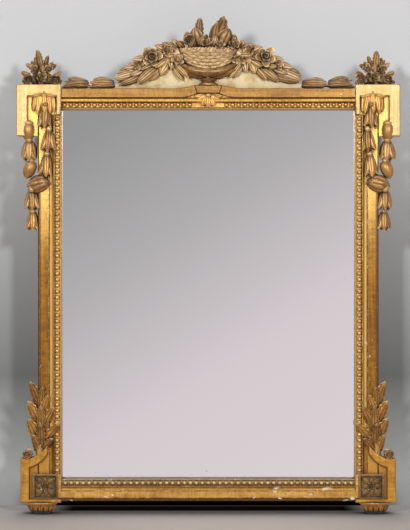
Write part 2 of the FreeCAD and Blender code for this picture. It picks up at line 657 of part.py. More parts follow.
def basket_flowers(cutters):
    z = BASKET_HIGH
    ground = PANEL_FRONT
    half = 0.82 * BASKET_HALF_WIDTH
    edge, crown = z + 10.0 * CARVING_UNIT, z + 14.0 * CARVING_UNIT
    steps = [(half, z), ((0.7 * half, edge), (0.3 * half, crown)), (-0.3 * half, crown)]
    steps += [((-0.7 * half, edge), (-half, z + 0.5))]
    bed = slab((-half, z), steps, ground, ground + 28.0 * CARVING_UNIT)
    items = [((-31, 22), 20), ((33, 24), 21), ((1, 16), 16), ((-54, 9), 14), ((54, 9), 14)]
    items += [((-24, 32), (-21, 66), 20), ((20, 34), (40, 68), 23), ((10, 26), (8, 56), 15)]
    items += [((42, 26), (57, 50), 16), ((-38, 26), (-48, 48), 14), ((-8, 24), (-8, 44), 13)]
    rim, ridge = ground + 22.0 * CARVING_UNIT, ground + 32.0 * CARVING_UNIT
    return without(joined([bed] + carving(sprig(0, z, items), ground, rim, ridge)), cutters)


def garland_spine(share):
    """Middle line of the left garland, from the basket out to the end of the crest panel."""
    x = -BASKET_HALF_WIDTH + 1.0 - share * 0.848 * PANEL_HALF
    z = TOP_RAIL_HIGH + 0.135 * PANEL_HEIGHT + 0.82 * PANEL_HEIGHT * (1.0 - share) ** 1.25
    return x, z


def garland_bed():
    """The strip of ground under the left garland, which holds its leaves together."""
    upper, lower = [], []
    for k in range(GARLAND_STEPS + 1):
        share = k / GARLAND_STEPS
        x, z = garland_spine(share)
        half = 0.5 * GARLAND_BED * (1.0 - 0.4 * share)
        upper.append((x, z + half))
        lower.append((x, max(z - half, TOP_RAIL_HIGH)))
    outline = upper + lower[::-1]
    return slab(outline[0], outline[1:], PANEL_FRONT, PANEL_FRONT + CARVING_RIM - GARLAND_BED_LOSS)


def left_garland(cutters):
    items = []
    for k in range(GARLAND_STEPS):
        share = (k + 0.1) / GARLAND_STEPS
        here, ahead = garland_spine(share), garland_spine(share + 0.08)
        course = math.atan2(ahead[1] - here[1], ahead[0] - here[0])
        spread = 42.0 - 2.0 * k
        for offset in (-spread, 0.0, spread):
            angle = course + math.radians(offset)
            length = GARLAND_LEAF * (1.0 if offset else 0.95) * (1.12 - 0.25 * share)
            tip = (here[0] + length * math.cos(angle), here[1] + length * math.sin(angle))
            items.append((here, tip, 0.54 * GARLAND_LEAF))
    for share, size in ((0.1, 23.0), (0.36, 21.0), (0.62, 18.0)):
        items.append((garland_spine(share), size * CARVING_UNIT))
    ground = PANEL_FRONT
    leaves = carving(items, ground, ground + CARVING_RIM, ground + CARVING_RIDGE)
    shape = joined([garland_bed()] + leaves)
    under = block(-2.0 * PANEL_HALF, 0, 0, TOTAL_DEPTH, 0, TOP_RAIL_HIGH)
    return without(shape, [under] + cutters)


def left_rail_spray():
    z = TOP_RAIL_HIGH
    items = []
    start = -PANEL_HALF - 4.0
    reach = HALF_SIGHT - PANEL_HALF - 6.0
    half = reach / 2.0
    for root in (start, start - half):
        items.append(((root, z + 10.0), (root - half + 2.0, z + 8.0), 25.0))
        items.append(((root - 2.0, z + 12.0), (root - half + 10.0, z + 21.0), 18.0))
    near = PANEL_FRONT - 22.0 * CARVING_UNIT
    shape = joined(carving(items, near, near + 20.0, near + 27.0))
    return shape.cut(block(-HALF_SIGHT, 0, 0, TOTAL_DEPTH, z - 40.0, z))


def left_finial():
    x, z = -FOOT_X, EAR_HIGH
    items = [((-29, 15), 17), ((0, 18), 19), ((29, 15), 17), ((-15, 42), 15), ((14, 42), 15)]
    items += [((-4, 46), (-9, 83), 17), ((6, 46), (10, 74), 15)]
    items += [((-20, 36), (-34, 60), 13), ((20, 36), (32, 58), 13)]
    items += [((-30, 14), (-47, 32), 13), ((30, 14), (46, 30), 13)]
    half = 36.0 * CARVING_UNIT
    rim = FRAME_DEPTH - FINIAL_SETBACK
    bed = block(x - half, x + half, FINIAL_BACK, rim, z, z + 12.0 * CARVING_UNIT)
    flowers = carving(sprig(x, z, items), FINIAL_BACK, rim, rim + CARVING_RIM)
    return joined([bed] + flowers).cut(block(x - EAR_OUT, x + EAR_OUT, 0, TOTAL_DEPTH, EAR_LOW, z))


def left_drop_cap(cutters):
    top = EAR_HIGH - 0.72 * EAR_TOP_LEG
    left = -EAR_OUT + EAR_OUTER_LEG + 16.0
    right = -HALF_SIGHT - EAR_INNER_LEG - 1.0
    middle = (left + right) / 2.0
    shapes = []
    for k, share in enumerate((54.0, 38.0, 22.0)):
        drop = CARVING_UNIT * share
        inset = 3.0 * k * CARVING_UNIT
        side = top - 0.45 * drop
        sag = ((middle, top - drop), (right - inset, side))
        outline = [(left + inset, side), sag, (right - inset, top)]
        shapes.append(slab((left + inset, top), outline, FRAME_DEPTH, BORDER_FRONT + 2.0 + 2.5 * k))
    return without(joined(shapes), cutters)


def husk(root, heading, length, width):
    """Three leaves of one husk, as root, tip and width."""
    items = []
    for offset, share, wide in ((-24.0, 0.84, 0.46), (24.0, 0.84, 0.46), (0.0, 1.0, 0.6)):
        angle = math.radians(heading + offset)
        tip = (root[0] + share * length * math.cos(angle), root[1] + share * length * math.sin(angle))
        items.append((root, tip, wide * width))
    return items


def left_husk_garland(cutters):
    top = EAR_INNER_LOW + 12.0 * CARVING_UNIT
    inner_x = -STILE_IN - 0.4 * STILE_WIDTH
    front = []
    for k, heading in enumerate((270.0, 268.0, 262.0)):
        root = (inner_x + 2.0 * min(k, 1), top - k * HUSK_PITCH)
        front += husk(root, heading, HUSK_LENGTH, HUSK_WIDTH)
    outer_x = -STILE_OUT - 0.5 * HUSK_WIDTH
    inward = inner_x - outer_x
    bud, swag = 1.1 * HUSK_WIDTH, EAR_LOW - 2.0 * HUSK_PITCH
    hung = sprig(outer_x, EAR_LOW, [((-1, 38), (1, -10), 36)])
    hung += husk((outer_x, EAR_LOW - 0.16 * HUSK_PITCH), 270.0, HUSK_LENGTH, 1.22 * HUSK_WIDTH)
    bud_root, bud_tip = EAR_LOW - 1.16 * HUSK_PITCH, EAR_LOW - 2.16 * HUSK_PITCH
    hung += [((outer_x + 9.0 * CARVING_UNIT, bud_root), (outer_x - 6.0 * CARVING_UNIT, bud_tip), bud)]
    front += [((outer_x + inward + 4.0, swag + 2.0), (outer_x, swag - 34.0 * CARVING_UNIT), bud)]
    for step, width, length in ((2.56, 1.11, 1.0), (3.56, 1.0, 0.92)):
        root = (outer_x + (step + 0.5) * CARVING_UNIT, EAR_LOW - step * HUSK_PITCH)
        hung += husk(root, 271.0, length * HUSK_LENGTH, width * HUSK_WIDTH)
    rim, ridge = FRAME_DEPTH + 6.0, FRAME_DEPTH + 14.0
    shapes = carving(front, FRAME_DEPTH - GROOVE_DROP, rim, ridge)
    shapes += carving(hung, FRAME_DEPTH / 2.0, rim, ridge)
    edge = block(-STILE_IN + 0.5, 0, 0, TOTAL_DEPTH, 0, EAR_HIGH)
    return without(joined(shapes), [edge] + cutters)


def left_leaf_spray(cutters):
    items = [((4, -26), (8, 100), 12), ((8, -8), (-16, 59), 22), ((9, 34), (-18, 101), 22)]
    items += [((8, 78), (-15, 148), 21), ((7, 84), (6, 130), 16), ((6, -14), (54, 48), 22)]
    items += [((7, 20), (36, 66), 20), ((8, 56), (20, 116), 20), ((5, -28), (26, 10), 20)]
    leaves = sprig(-STILE_OUT, SWEEP_Z, items)
    shapes = carving(leaves, FRAME_DEPTH / 2.0, FRAME_DEPTH + 6.0, FRAME_DEPTH + 13.0)
    return without(joined(shapes), cutters)


def left_hanger_pocket():
    x0, x1 = -HANGER_X - POCKET_WIDTH / 2.0, -HANGER_X + POCKET_WIDTH / 2.0
    return block(x0, x1, 0, POCKET_DEPTH, HANGER_Z - POCKET_BELOW, HANGER_Z + POCKET_ABOVE)


def hanger_screws(clearance):
    back = POCKET_DEPTH - STRAP_THICKNESS - SCREW_HEAD_HEIGHT
    heights = (HANGER_Z + 0.36 * STRAP_LENGTH, HANGER_Z + 0.8 * STRAP_LENGTH)
    left = [screw(-HANGER_X, back, z, HANGER_SCREW_LENGTH, clearance) for z in heights]
    return left + [mirrored(s) for s in left]


def left_hanger_plate(holes):
    x0 = -HANGER_X - STRAP_WIDTH / 2.0
    bore = RING_WIRE + RING_CLEARANCE
    start = point(x0, RING_DEPTH, HANGER_Z)
    outer = Part.makeCylinder(bore + STRAP_THICKNESS, STRAP_WIDTH, start, Vector(1, 0, 0))
    inner = Part.makeCylinder(bore, STRAP_WIDTH, start, Vector(1, 0, 0))
    near = POCKET_DEPTH - STRAP_THICKNESS
    strap = block(x0, x0 + STRAP_WIDTH, near, POCKET_DEPTH, HANGER_Z, HANGER_Z + STRAP_LENGTH)
    return without(joined([outer, strap]), [inner] + holes)


def bent_wire(centre, radius, start_angle, sweep):
    """A bend of the ring's wire, in the plane of the back, about the given centre."""
    angle = math.radians(start_angle)
    spot = point(centre[0] + radius * math.cos(angle), RING_DEPTH, centre[1] + radius * math.sin(angle))
    course = Vector(-math.sin(angle), 0, math.cos(angle))
    disc = Part.Face(Part.Wire(Part.makeCircle(RING_WIRE, spot, course)))
    return disc.revolve(point(centre[0], RING_DEPTH, centre[1]), Vector(0, -1, 0), sweep)


def left_hanging_ring():
    x, z = -HANGER_X, HANGER_Z
    flat = RING_HALF - RING_CORNER
    bar = Part.makeCylinder(RING_WIRE, 2.0 * flat, point(x - flat, RING_DEPTH, z), Vector(1, 0, 0))
    leg_top, leg_low = z - RING_CORNER, z - RING_LEG
    legs = [Part.makeCylinder(RING_WIRE, leg_top - leg_low, point(x + way * RING_HALF, RING_DEPTH, leg_low))
            for way in (-1, 1)]
    corners = [bent_wire((x + flat, leg_top), RING_CORNER, 0, 90)]
    corners.append(bent_wire((x - flat, leg_top), RING_CORNER, 90, 90))
    bow = bent_wire((x, leg_low), RING_HALF, 180, 180)
    return joined([bar] + legs + corners + [bow])


def export(shape, node):
    shape.exportStep("parts/" + node + ".step")


def build():
    os.makedirs("parts", exist_ok=True)
    rails = ((BOTTOM_RAIL_LOW, BOTTOM_RAIL_HIGH), (TOP_RAIL_LOW, TOP_RAIL_HIGH))
    left_holes = [peg(low, high, FIT_CLEARANCE) for low, high in rails]
    peg_holes = left_holes + [mirrored(hole) for hole in left_holes]
    mortises = [tenon(low, high, TENON_END_GAP) for low, high in rails]
    dowel_hole = foot_dowel(FIT_CLEARANCE)
    plate_holes = hanger_screws(FIT_CLEARANCE)
    crest_holes = crest_screws(FIT_CLEARANCE)
    stile = left_stile(left_holes + mortises + [dowel_hole, left_hanger_pocket()] + plate_holes[:2])
    battens = [batten_box(), mirrored(batten_box())]
    rail = top_rail(peg_holes + battens + crest_holes)
    cornice = left_cornice()
    cornices = [cornice, mirrored(cornice)]
    strip = top_bead_strip()
    ear_border = left_ear_border()
    base_border = left_base_border()
    base_block = left_base_block([dowel_hole])
    ear_block = left_ear_block()
    cradle = basket_cradle()
    woven = basket()
    bouquet = basket_flowers([woven])
    rail_spray = left_rail_spray()
    cap = left_drop_cap([ear_border])
    edge_strip = block(-STILE_IN, -HALF_SIGHT, 0, FRAME_DEPTH + RIDGE_RISE + 1.0, 0, EAR_HIGH)
    drop = left_husk_garland([stile, ear_block, ear_border, cap, edge_strip])
    spray = left_leaf_spray([stile, base_block, base_border, edge_strip])

    paired = {
        "stile": stile,
        "ear_block": ear_block,
        "ear_border": ear_border,
        "base_block": base_block,
        "base_border": base_border,
        "patera": left_patera(),
        "foot": left_foot(),
        "bead_strip": left_bead_strip(),
        "cornice": cornice,
        "garland": left_garland([woven, cradle, bouquet, rail_spray] + cornices),
        "rail_spray": rail_spray,
        "finial": left_finial(),
        "drop_cap": cap,
        "husk_garland": drop,
        "leaf_spray": spray,
        "hanger_plate": left_hanger_plate(plate_holes[:2]),
        "hanging_ring": left_hanging_ring(),
    }
    for name, shape in paired.items():
        export(shape, "left_" + name)
        export(mirrored(shape), "right_" + name)

    pegs = [peg(low, high, 0) for low, high in rails]
    single = {
        "top_rail": rail,
        "bottom_rail": bottom_rail(peg_holes),
        "tenon_pegs": Part.makeCompound(pegs + [mirrored(p) for p in pegs]),
        "top_bead_strip": strip,
        "bottom_bead_strip": bottom_bead_strip(),
        "mirror_glass": glass_plate(GLASS_BACK, GLASS_FRONT),
        "silvering": glass_plate(GLASS_BACK - SILVER_THICKNESS, GLASS_BACK),
        "glass_blocks": glass_blocks(),
        "setting_blocks": setting_blocks(),
        "board_pins": board_pins(),
        "keystone": keystone(),
        "rail_clasp": rail_clasp([rail, strip] + cornices),
        "crest_panel": crest_panel(crest_holes),
        "crest_battens": Part.makeCompound([without(b, crest_holes) for b in battens]),
        "crest_screws": Part.makeCompound(crest_screws(0)),
        "hanger_screws": Part.makeCompound(hanger_screws(0)),
        "basket": woven,
        "basket_cradle": cradle,
        "basket_flowers": bouquet,
    }
    for k in range(BOARD_COUNT):
        single["back_board_" + str(k + 1)] = back_board(k)
    for name, shape in single.items():
        export(shape, name)


build()
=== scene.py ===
"""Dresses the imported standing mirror: carved and gilded pieces, finishes, and a plain studio round them."""

import logging
import math
import random
from contextlib import contextmanager
from dataclasses import dataclass
from enum import Enum
from typing import Any, Iterable, Iterator, Sequence, Union

import bmesh
import bpy
from mathutils import Matrix, Vector


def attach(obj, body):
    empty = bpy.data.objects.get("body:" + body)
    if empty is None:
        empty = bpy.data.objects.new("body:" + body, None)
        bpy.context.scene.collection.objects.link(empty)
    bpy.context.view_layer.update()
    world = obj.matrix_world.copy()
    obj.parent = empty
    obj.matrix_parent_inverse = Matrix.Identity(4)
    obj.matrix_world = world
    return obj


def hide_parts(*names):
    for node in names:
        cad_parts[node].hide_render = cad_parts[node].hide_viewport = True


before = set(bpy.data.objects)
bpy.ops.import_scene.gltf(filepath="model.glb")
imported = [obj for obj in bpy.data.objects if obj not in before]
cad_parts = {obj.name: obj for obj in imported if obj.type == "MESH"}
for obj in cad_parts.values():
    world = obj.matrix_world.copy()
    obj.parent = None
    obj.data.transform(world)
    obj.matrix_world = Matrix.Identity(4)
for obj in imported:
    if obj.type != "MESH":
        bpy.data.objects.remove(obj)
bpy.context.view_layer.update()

LOG = logging.getLogger("mirror")
MM = 0.001
BACK = 41.5  # the wall plane lies this far behind the middle of the depth, in millimetres

Point = tuple[float, float]
Place = tuple[float, float, float]
Colour = tuple[float, float, float, float]
Piece = bpy.types.Object
Material = bpy.types.Material
Socket = bpy.types.NodeSocket


def srgb(red: int, green: int, blue: int) -> Colour:
    """Gives a display colour as the linear colour that a shader takes.

    Args:
        red: Red, 0 to 255.
        green: Green, 0 to 255.
        blue: Blue, 0 to 255.

    Returns:
        The linear colour with full alpha.
    """
    linear = []
    for value in (red, green, blue):
        share = value / 255.0
        linear.append(share / 12.92 if share <= 0.04045 else ((share + 0.055) / 1.055) ** 2.4)
    return (linear[0], linear[1], linear[2], 1.0)


OLD_WOOD = srgb(128, 94, 58)
OLD_GRAIN = srgb(96, 66, 38)


class Side(Enum):
    """The side of the mirror that a paired piece stands on, as seen from the front."""

    LEFT = "left"
    RIGHT = "right"

    def named(self, piece: str) -> str:
        """Gives the name of a piece on this side."""
        return f"{self.value}_{piece}"

    def seed(self, first: int) -> int:
        """Gives this side's seed: the first one on the left, the next on the right."""
        return first + int(self is Side.RIGHT)


class Section(Enum):
    """The shape across a carved blade."""

    LEAF = "crowned, with ribs"
    PETAL = "hollow, with raised edges"
    BELL = "half round"


# Modelling


class Bench:
    """Modelling moves, made with Blender's own operators. Work on the bench is in millimetres."""

    SAME = 0.01  # points that are closer than this are one point
    BAR_STEPS = 5  # steps of a bar between two points of its line

    @staticmethod
    def clear() -> None:
        """Leaves nothing selected."""
        bpy.ops.object.select_all(action="DESELECT")

    @staticmethod
    def choose(obj: Piece) -> None:
        """Selects one object alone and makes it the active one.

        Args:
            obj: The object.
        """
        Bench.clear()
        obj.select_set(True)
        bpy.context.view_layer.objects.active = obj

    @staticmethod
    def added(name: str) -> Piece:
        """Names the object that an operator has left active, and gives it."""
        bpy.context.active_object.name = name
        return bpy.context.active_object

    @staticmethod
    @contextmanager
    def editing(obj: Piece) -> Iterator[None]:
        """Holds one object in edit mode.

        Args:
            obj: The object to edit.

        Returns:
            A context in which edit operators act on the object.
        """
        Bench.choose(obj)
        bpy.ops.object.mode_set(mode="EDIT")
        bpy.context.tool_settings.mesh_select_mode = (True, False, False)
        try:
            yield
        finally:
            bpy.ops.object.mode_set(mode="OBJECT")

    @staticmethod
    def everything() -> None:
        """Selects all of the edited object."""
        bpy.ops.mesh.select_all(action="SELECT")

    @staticmethod
    def pick(obj: Piece, chosen: Iterable[int]) -> None:
        """Selects vertices of the edited object, and no others.

        Args:
            obj: The edited object.
            chosen: The numbers of the vertices.
        """
        wanted = set(chosen)
        mesh = bmesh.from_edit_mesh(obj.data)
        for vert in mesh.verts:
            vert.select_set(vert.index in wanted)
        mesh.select_flush_mode()
        bmesh.update_edit_mesh(obj.data)

    @staticmethod
    def pick_front(obj: Piece, depth: float) -> None:
        """Selects the faces of the edited object that look forward at one depth.

        Args:
            obj: The edited object.
            depth: Their depth from the wall plane.
        """
        mesh = bmesh.from_edit_mesh(obj.data)
        for vert in mesh.verts:
            vert.select_set(False)
        for face in mesh.faces:
            off = abs(face.calc_center_median().y - (BACK - depth))
            face.select_set(face.normal.y < -0.9 and off < Bench.SAME)
        bmesh.update_edit_mesh(obj.data)

    @staticmethod
    def modify(obj: Piece, kind: str, **settings: Any) -> None:
        """Adds one modifier to an object and applies it.

        Args:
            obj: The object.
            kind: The modifier's type.
            **settings: The modifier's settings.
        """
        Bench.choose(obj)
        modifier = obj.modifiers.new(kind.lower(), kind)
        for key, value in settings.items():
            setattr(modifier, key, value)
        bpy.ops.object.modifier_apply(modifier=modifier.name)

    @staticmethod
    def smooth(obj: Piece) -> None:
        """Shades an object smooth all over."""
        Bench.choose(obj)
        bpy.ops.object.shade_smooth()

    @staticmethod
    def unmap(obj: Piece) -> None:
        """Takes the texture map off an object."""
        while obj.data.uv_layers:
            obj.data.uv_layers.remove(obj.data.uv_layers[0])

    @staticmethod
    def flatten_back(obj: Piece, depth: float) -> None:
        """Cuts away what lies behind a depth and closes the cut.

        Args:
            obj: The object to cut.
            depth: Depth of the flat back, from the wall plane.
        """
        with Bench.editing(obj):
            Bench.everything()
            bpy.ops.mesh.bisect(plane_co=(0, BACK - depth, 0), plane_no=(0, 1, 0), use_fill=True,
                                clear_outer=True)

    @staticmethod
    def grid(name: str, columns: int, rows: int) -> Piece:
        """Adds a flat grid two units square.

        Args:
            name: Name of the object.
            columns: Number of faces across.
            rows: Number of faces along.

        Returns:
            The grid.
        """
        Bench.clear()
        bpy.ops.mesh.primitive_grid_add(x_subdivisions=columns, y_subdivisions=rows, size=2.0)
        return Bench.added(name)

    @staticmethod
    def lump(name: str, centre: Place, radii: Place, back: float) -> Piece:
        """Models the rounded wooden core behind a carving, flat at the back.

        Args:
            name: Name of the object.
            centre: Middle as x, depth and height.
            radii: Half sizes as width, depth and height.
            back: Depth of the flat back.

        Returns:
            The core.
        """
        Bench.clear()
        bpy.ops.mesh.primitive_uv_sphere_add(segments=24, ring_count=12, radius=1.0)
        obj = Bench.added(name)
        with Bench.editing(obj):
            Bench.everything()
            bpy.ops.transform.resize(value=radii, center_override=(0, 0, 0))
            bpy.ops.transform.translate(value=(centre[0], BACK - centre[1], centre[2]))
        Bench.flatten_back(obj, back)
        return obj

    @staticmethod
    def turned(name: str, profile: Sequence[Point], x: float, depth: float, steps: int = 48) -> Piece:
        """Turns a piece on a lathe: a profile is drawn by extruding a point, and spun.

        Args:
            name: Name of the object.
            profile: Radius and height of each point, from the bottom up.
            x: Where the axis stands across the mirror.
            depth: Where the axis stands in depth.
            steps: Number of steps in the turn.

        Returns:
            The turned piece.
        """
        Bench.clear()
        bpy.ops.mesh.primitive_plane_add(size=1.0)
        obj = Bench.added(name)
        axis = Vector((x, BACK - depth, 0.0))
        with Bench.editing(obj):
            Bench.pick(obj, (1, 2, 3))
            bpy.ops.mesh.delete(type="VERT")
            Bench.everything()
            here = Vector((-0.5, -0.5, 0.0))  # the one corner of the plane that is left
            for number, (radius, height) in enumerate(profile):
                there = axis + Vector((radius, 0.0, height))
                if number == 0:
                    bpy.ops.transform.translate(value=there - here)
                else:
                    bpy.ops.mesh.extrude_region_move(TRANSFORM_OT_translate={"value": there - here})
                here = there
            Bench.everything()
            bpy.ops.mesh.spin(steps=steps, angle=math.tau, center=axis, axis=(0, 0, 1))
            Bench.everything()
            bpy.ops.mesh.remove_doubles(threshold=Bench.SAME)
            bpy.ops.mesh.normals_make_consistent(inside=False)
        return obj

    @staticmethod
    def bar(name: str, points: Sequence[Place], radii: Sequence[float], sides: int = 2) -> Piece:
        """Models a round bar of changing thickness along a smooth line.

        Args:
            name: Name of the object.
            points: Points of the line as x, depth and height.
            radii: Radius at each point.
            sides: Roundness of the section.

        Returns:
            The bar as a mesh.
        """
        Bench.clear()
        bpy.ops.curve.primitive_bezier_curve_add()
        line = Bench.added(name).data
        line.dimensions = "3D"
        line.bevel_depth = 1.0
        line.bevel_resolution = sides
        line.resolution_u = Bench.BAR_STEPS
        line.use_fill_caps = True
        knots = line.splines[0].bezier_points
        knots.add(len(points) - len(knots))
        for knot, (x, depth, z), radius in zip(knots, points, radii):
            knot.co = (x, BACK - depth, z)
            knot.handle_left_type = "AUTO"
            knot.handle_right_type = "AUTO"
            knot.radius = radius
        bpy.ops.object.convert(target="MESH")
        return bpy.context.active_object


def frame_of(axes: Sequence[Vector], spot: Place, size: Place, tilt: float = 0.0,
             roll: float = 0.0) -> Matrix:
    """Builds a blade's matrix from its three directions.

    Args:
        axes: Directions over the blade, from root to tip, and out of its face.
        spot: Its root as x, depth and height.
        size: Scale across, along and out.
        tilt: Lift of the tip, in degrees.
        roll: Turn about the midrib, in degrees.

    Returns:
        The matrix, in millimetres.
    """
    turned = Matrix(axes).transposed().to_4x4()
    spin = Matrix.Rotation(math.radians(tilt), 4, "X") @ Matrix.Rotation(math.radians(roll), 4, "Y")
    grow = Matrix.Diagonal((size[0], size[1], size[2], 1.0))
    return Matrix.Translation((spot[0], BACK - spot[1], spot[2])) @ turned @ spin @ grow


def seat(root: Point, depth: float, heading: float, size: Place, tilt: float = 0.0,
         roll: float = 0.0) -> Matrix:
    """Works out where a blade goes on the face of the frame.

    Args:
        root: Where the blade starts, as x and height.
        depth: Depth of that point from the wall plane.
        heading: Direction of the tip, in degrees from +X towards +Z.
        size: Scale across, along and out.
        tilt: How far the tip lifts off the face, in degrees.
        roll: Turn about the midrib, in degrees.

    Returns:
        The blade's matrix, in millimetres.
    """
    angle = math.radians(heading)
    along = Vector((math.cos(angle), 0.0, math.sin(angle)))
    outward = Vector((0.0, -1.0, 0.0))
    return frame_of((along.cross(outward), along, outward), (root[0], depth, root[1]), size, tilt, roll)


def ball(size: float) -> Place:
    """Gives one scale for all three directions."""
    return (size, size, size)


def between(ends: Point, share: float) -> float:
    """Gives the number that lies a share of the way from one end to the other."""
    return ends[0] * (1.0 - share) + ends[1] * share


@dataclass(frozen=True)
class Blade:
    """A carved leaf, petal or husk: rows drawn across a midrib, on a blade 100 mm long.

    A row is its share of the length, its share of the half width, and its lift in millimetres.
    """

    name: str
    rows: tuple[Place, ...]
    half_width: float
    section: Section = Section.LEAF
    columns: int = 6
    crown: float = 0.4
    ribs: float = 0.0
    chevron: float = 0.3
    thickness: float = 6.0

    LENGTH = 100.0

    def shift(self, column: int) -> Place:
        """Says how far a column of the flat grid moves to give the blade its section.

        Args:
            column: The column's number.

        Returns:
            The move, on a grid two units wide.
        """
        share = 2.0 * column / self.columns - 1.0
        rib = self.ribs if column % 2 else 0.0
        if self.section is Section.BELL:
            turn = share * math.pi / 2.0
            swell = 1.0 - rib
            return (math.sin(turn) * swell - share, self.chevron * abs(share), math.cos(turn) * swell)
        rise = self.crown * share * share
        if self.section is Section.PETAL:
            return (0.0, -self.chevron * share * share, rise)
        return (0.0, self.chevron * abs(share), -rise - rib)

    def model(self) -> Piece:
        """Models the blade once, lying on its back with its root at the origin.

        Returns:
            The blade's object. Its map runs along it, and counts its ribs across.
        """
        blade = Bench.grid(self.name, self.columns, len(self.rows) - 1)
        wide = self.columns + 1
        with Bench.editing(blade):
            for column in range(wide):
                Bench.pick(blade, (row * wide + column for row in range(len(self.rows))))
                bpy.ops.transform.translate(value=self.shift(column))
            for number, (share, width, lift) in enumerate(self.rows):
                line = 2.0 * number / (len(self.rows) - 1) - 1.0
                Bench.pick(blade, range(number * wide, (number + 1) * wide))
                bpy.ops.transform.resize(value=ball(self.half_width * width), center_override=(0, line, 0))
                bpy.ops.transform.translate(value=(0, self.LENGTH * share - line, lift))
        for corner in blade.data.uv_layers.active.data:
            corner.uv.x *= self.columns / 2.0 if self.ribs else 0.0
        Bench.modify(blade, "SOLIDIFY", thickness=self.thickness, offset=-1.0)
        Bench.modify(blade, "SUBSURF", levels=1, render_levels=1)
        Bench.smooth(blade)
        return blade


class Carver:
    """Holds the blades that the carvings are put together from, each modelled once."""

    KINDS = (
        Blade("laurel", ((0, .2, 0), (.1, .55, 2), (.22, .86, 5), (.36, 1.0, 8), (.5, 1.0, 10),
                         (.64, .86, 10), (.77, .6, 8), (.89, .3, 5), (1, .04, 0)),
              27.0, crown=0.5, ribs=0.26),
        Blade("acanthus", ((0, .34, 0), (.07, .56, 3), (.14, 1.0, 5), (.21, .5, 5), (.29, 1.06, 8),
                           (.37, .52, 8), (.46, 1.02, 11), (.55, .48, 11), (.64, .84, 15), (.73, .4, 15),
                           (.81, .56, 19), (.9, .22, 22), (1, .04, 27)),
              31.0, crown=0.32, ribs=0.24, chevron=0.6),
        Blade("sepal", ((0, .4, 0), (.1, .68, 3), (.26, .94, 6), (.45, 1.0, 8), (.62, .92, 9), (.77, .7, 10),
                        (.9, .38, 13), (1, .04, 18)),
              24.0, crown=0.62, ribs=0.18, chevron=0.25),
        Blade("petal", ((0, .3, 0), (.25, .72, 5), (.5, 1.0, 11), (.75, .98, 20), (1, .6, 34)),
              40.0, section=Section.PETAL, columns=4, crown=0.34, chevron=0.3, thickness=9.0),
        Blade("bud", ((0, .25, 0), (.08, .6, 0), (.25, .9, 0), (.5, 1.0, 0), (.72, .86, 0), (.9, .48, 0),
                      (1, .05, 0)),
              33.0, section=Section.BELL, columns=10, ribs=0.16, chevron=0.0, thickness=5.0),
        Blade("acorn", ((0, .35, 0), (.06, .7, 0), (.2, .96, 0), (.45, 1.0, 0), (.68, .9, 0), (.86, .6, 0),
                        (1, .05, 0)),
              33.0, section=Section.BELL, columns=10, chevron=0.0, thickness=5.0),
    )
    BUTTON = 50.0  # radius of the button
    BUTTON_BACK = -12.0  # where the button's flat back lies

    def __init__(self) -> None:
        """Models every blade."""
        self.kept = {blade.name: blade.model() for blade in self.KINDS}
        self.half = {blade.name: blade.half_width for blade in self.KINDS}
        self.kept["button"] = self.button()

    def button(self) -> Piece:
        """Models the domed middle of a flower, 100 mm across, facing up.

        Returns:
            The button.
        """
        Bench.clear()
        bpy.ops.mesh.primitive_uv_sphere_add(segments=12, ring_count=8, radius=self.BUTTON)
        obj = Bench.added("button")
        with Bench.editing(obj):
            Bench.everything()
            bpy.ops.transform.resize(value=(1.0, 1.0, 0.8), center_override=(0, 0, 0))
            bpy.ops.mesh.bisect(plane_co=(0, 0, self.BUTTON_BACK), plane_no=(0, 0, -1), use_fill=True,
                                clear_outer=True)
        Bench.unmap(obj)
        Bench.smooth(obj)
        return obj

    def clear_away(self) -> None:
        """Takes the blades off the bench once all copies are made."""
        for blade in self.kept.values():
            bpy.data.objects.remove(blade)


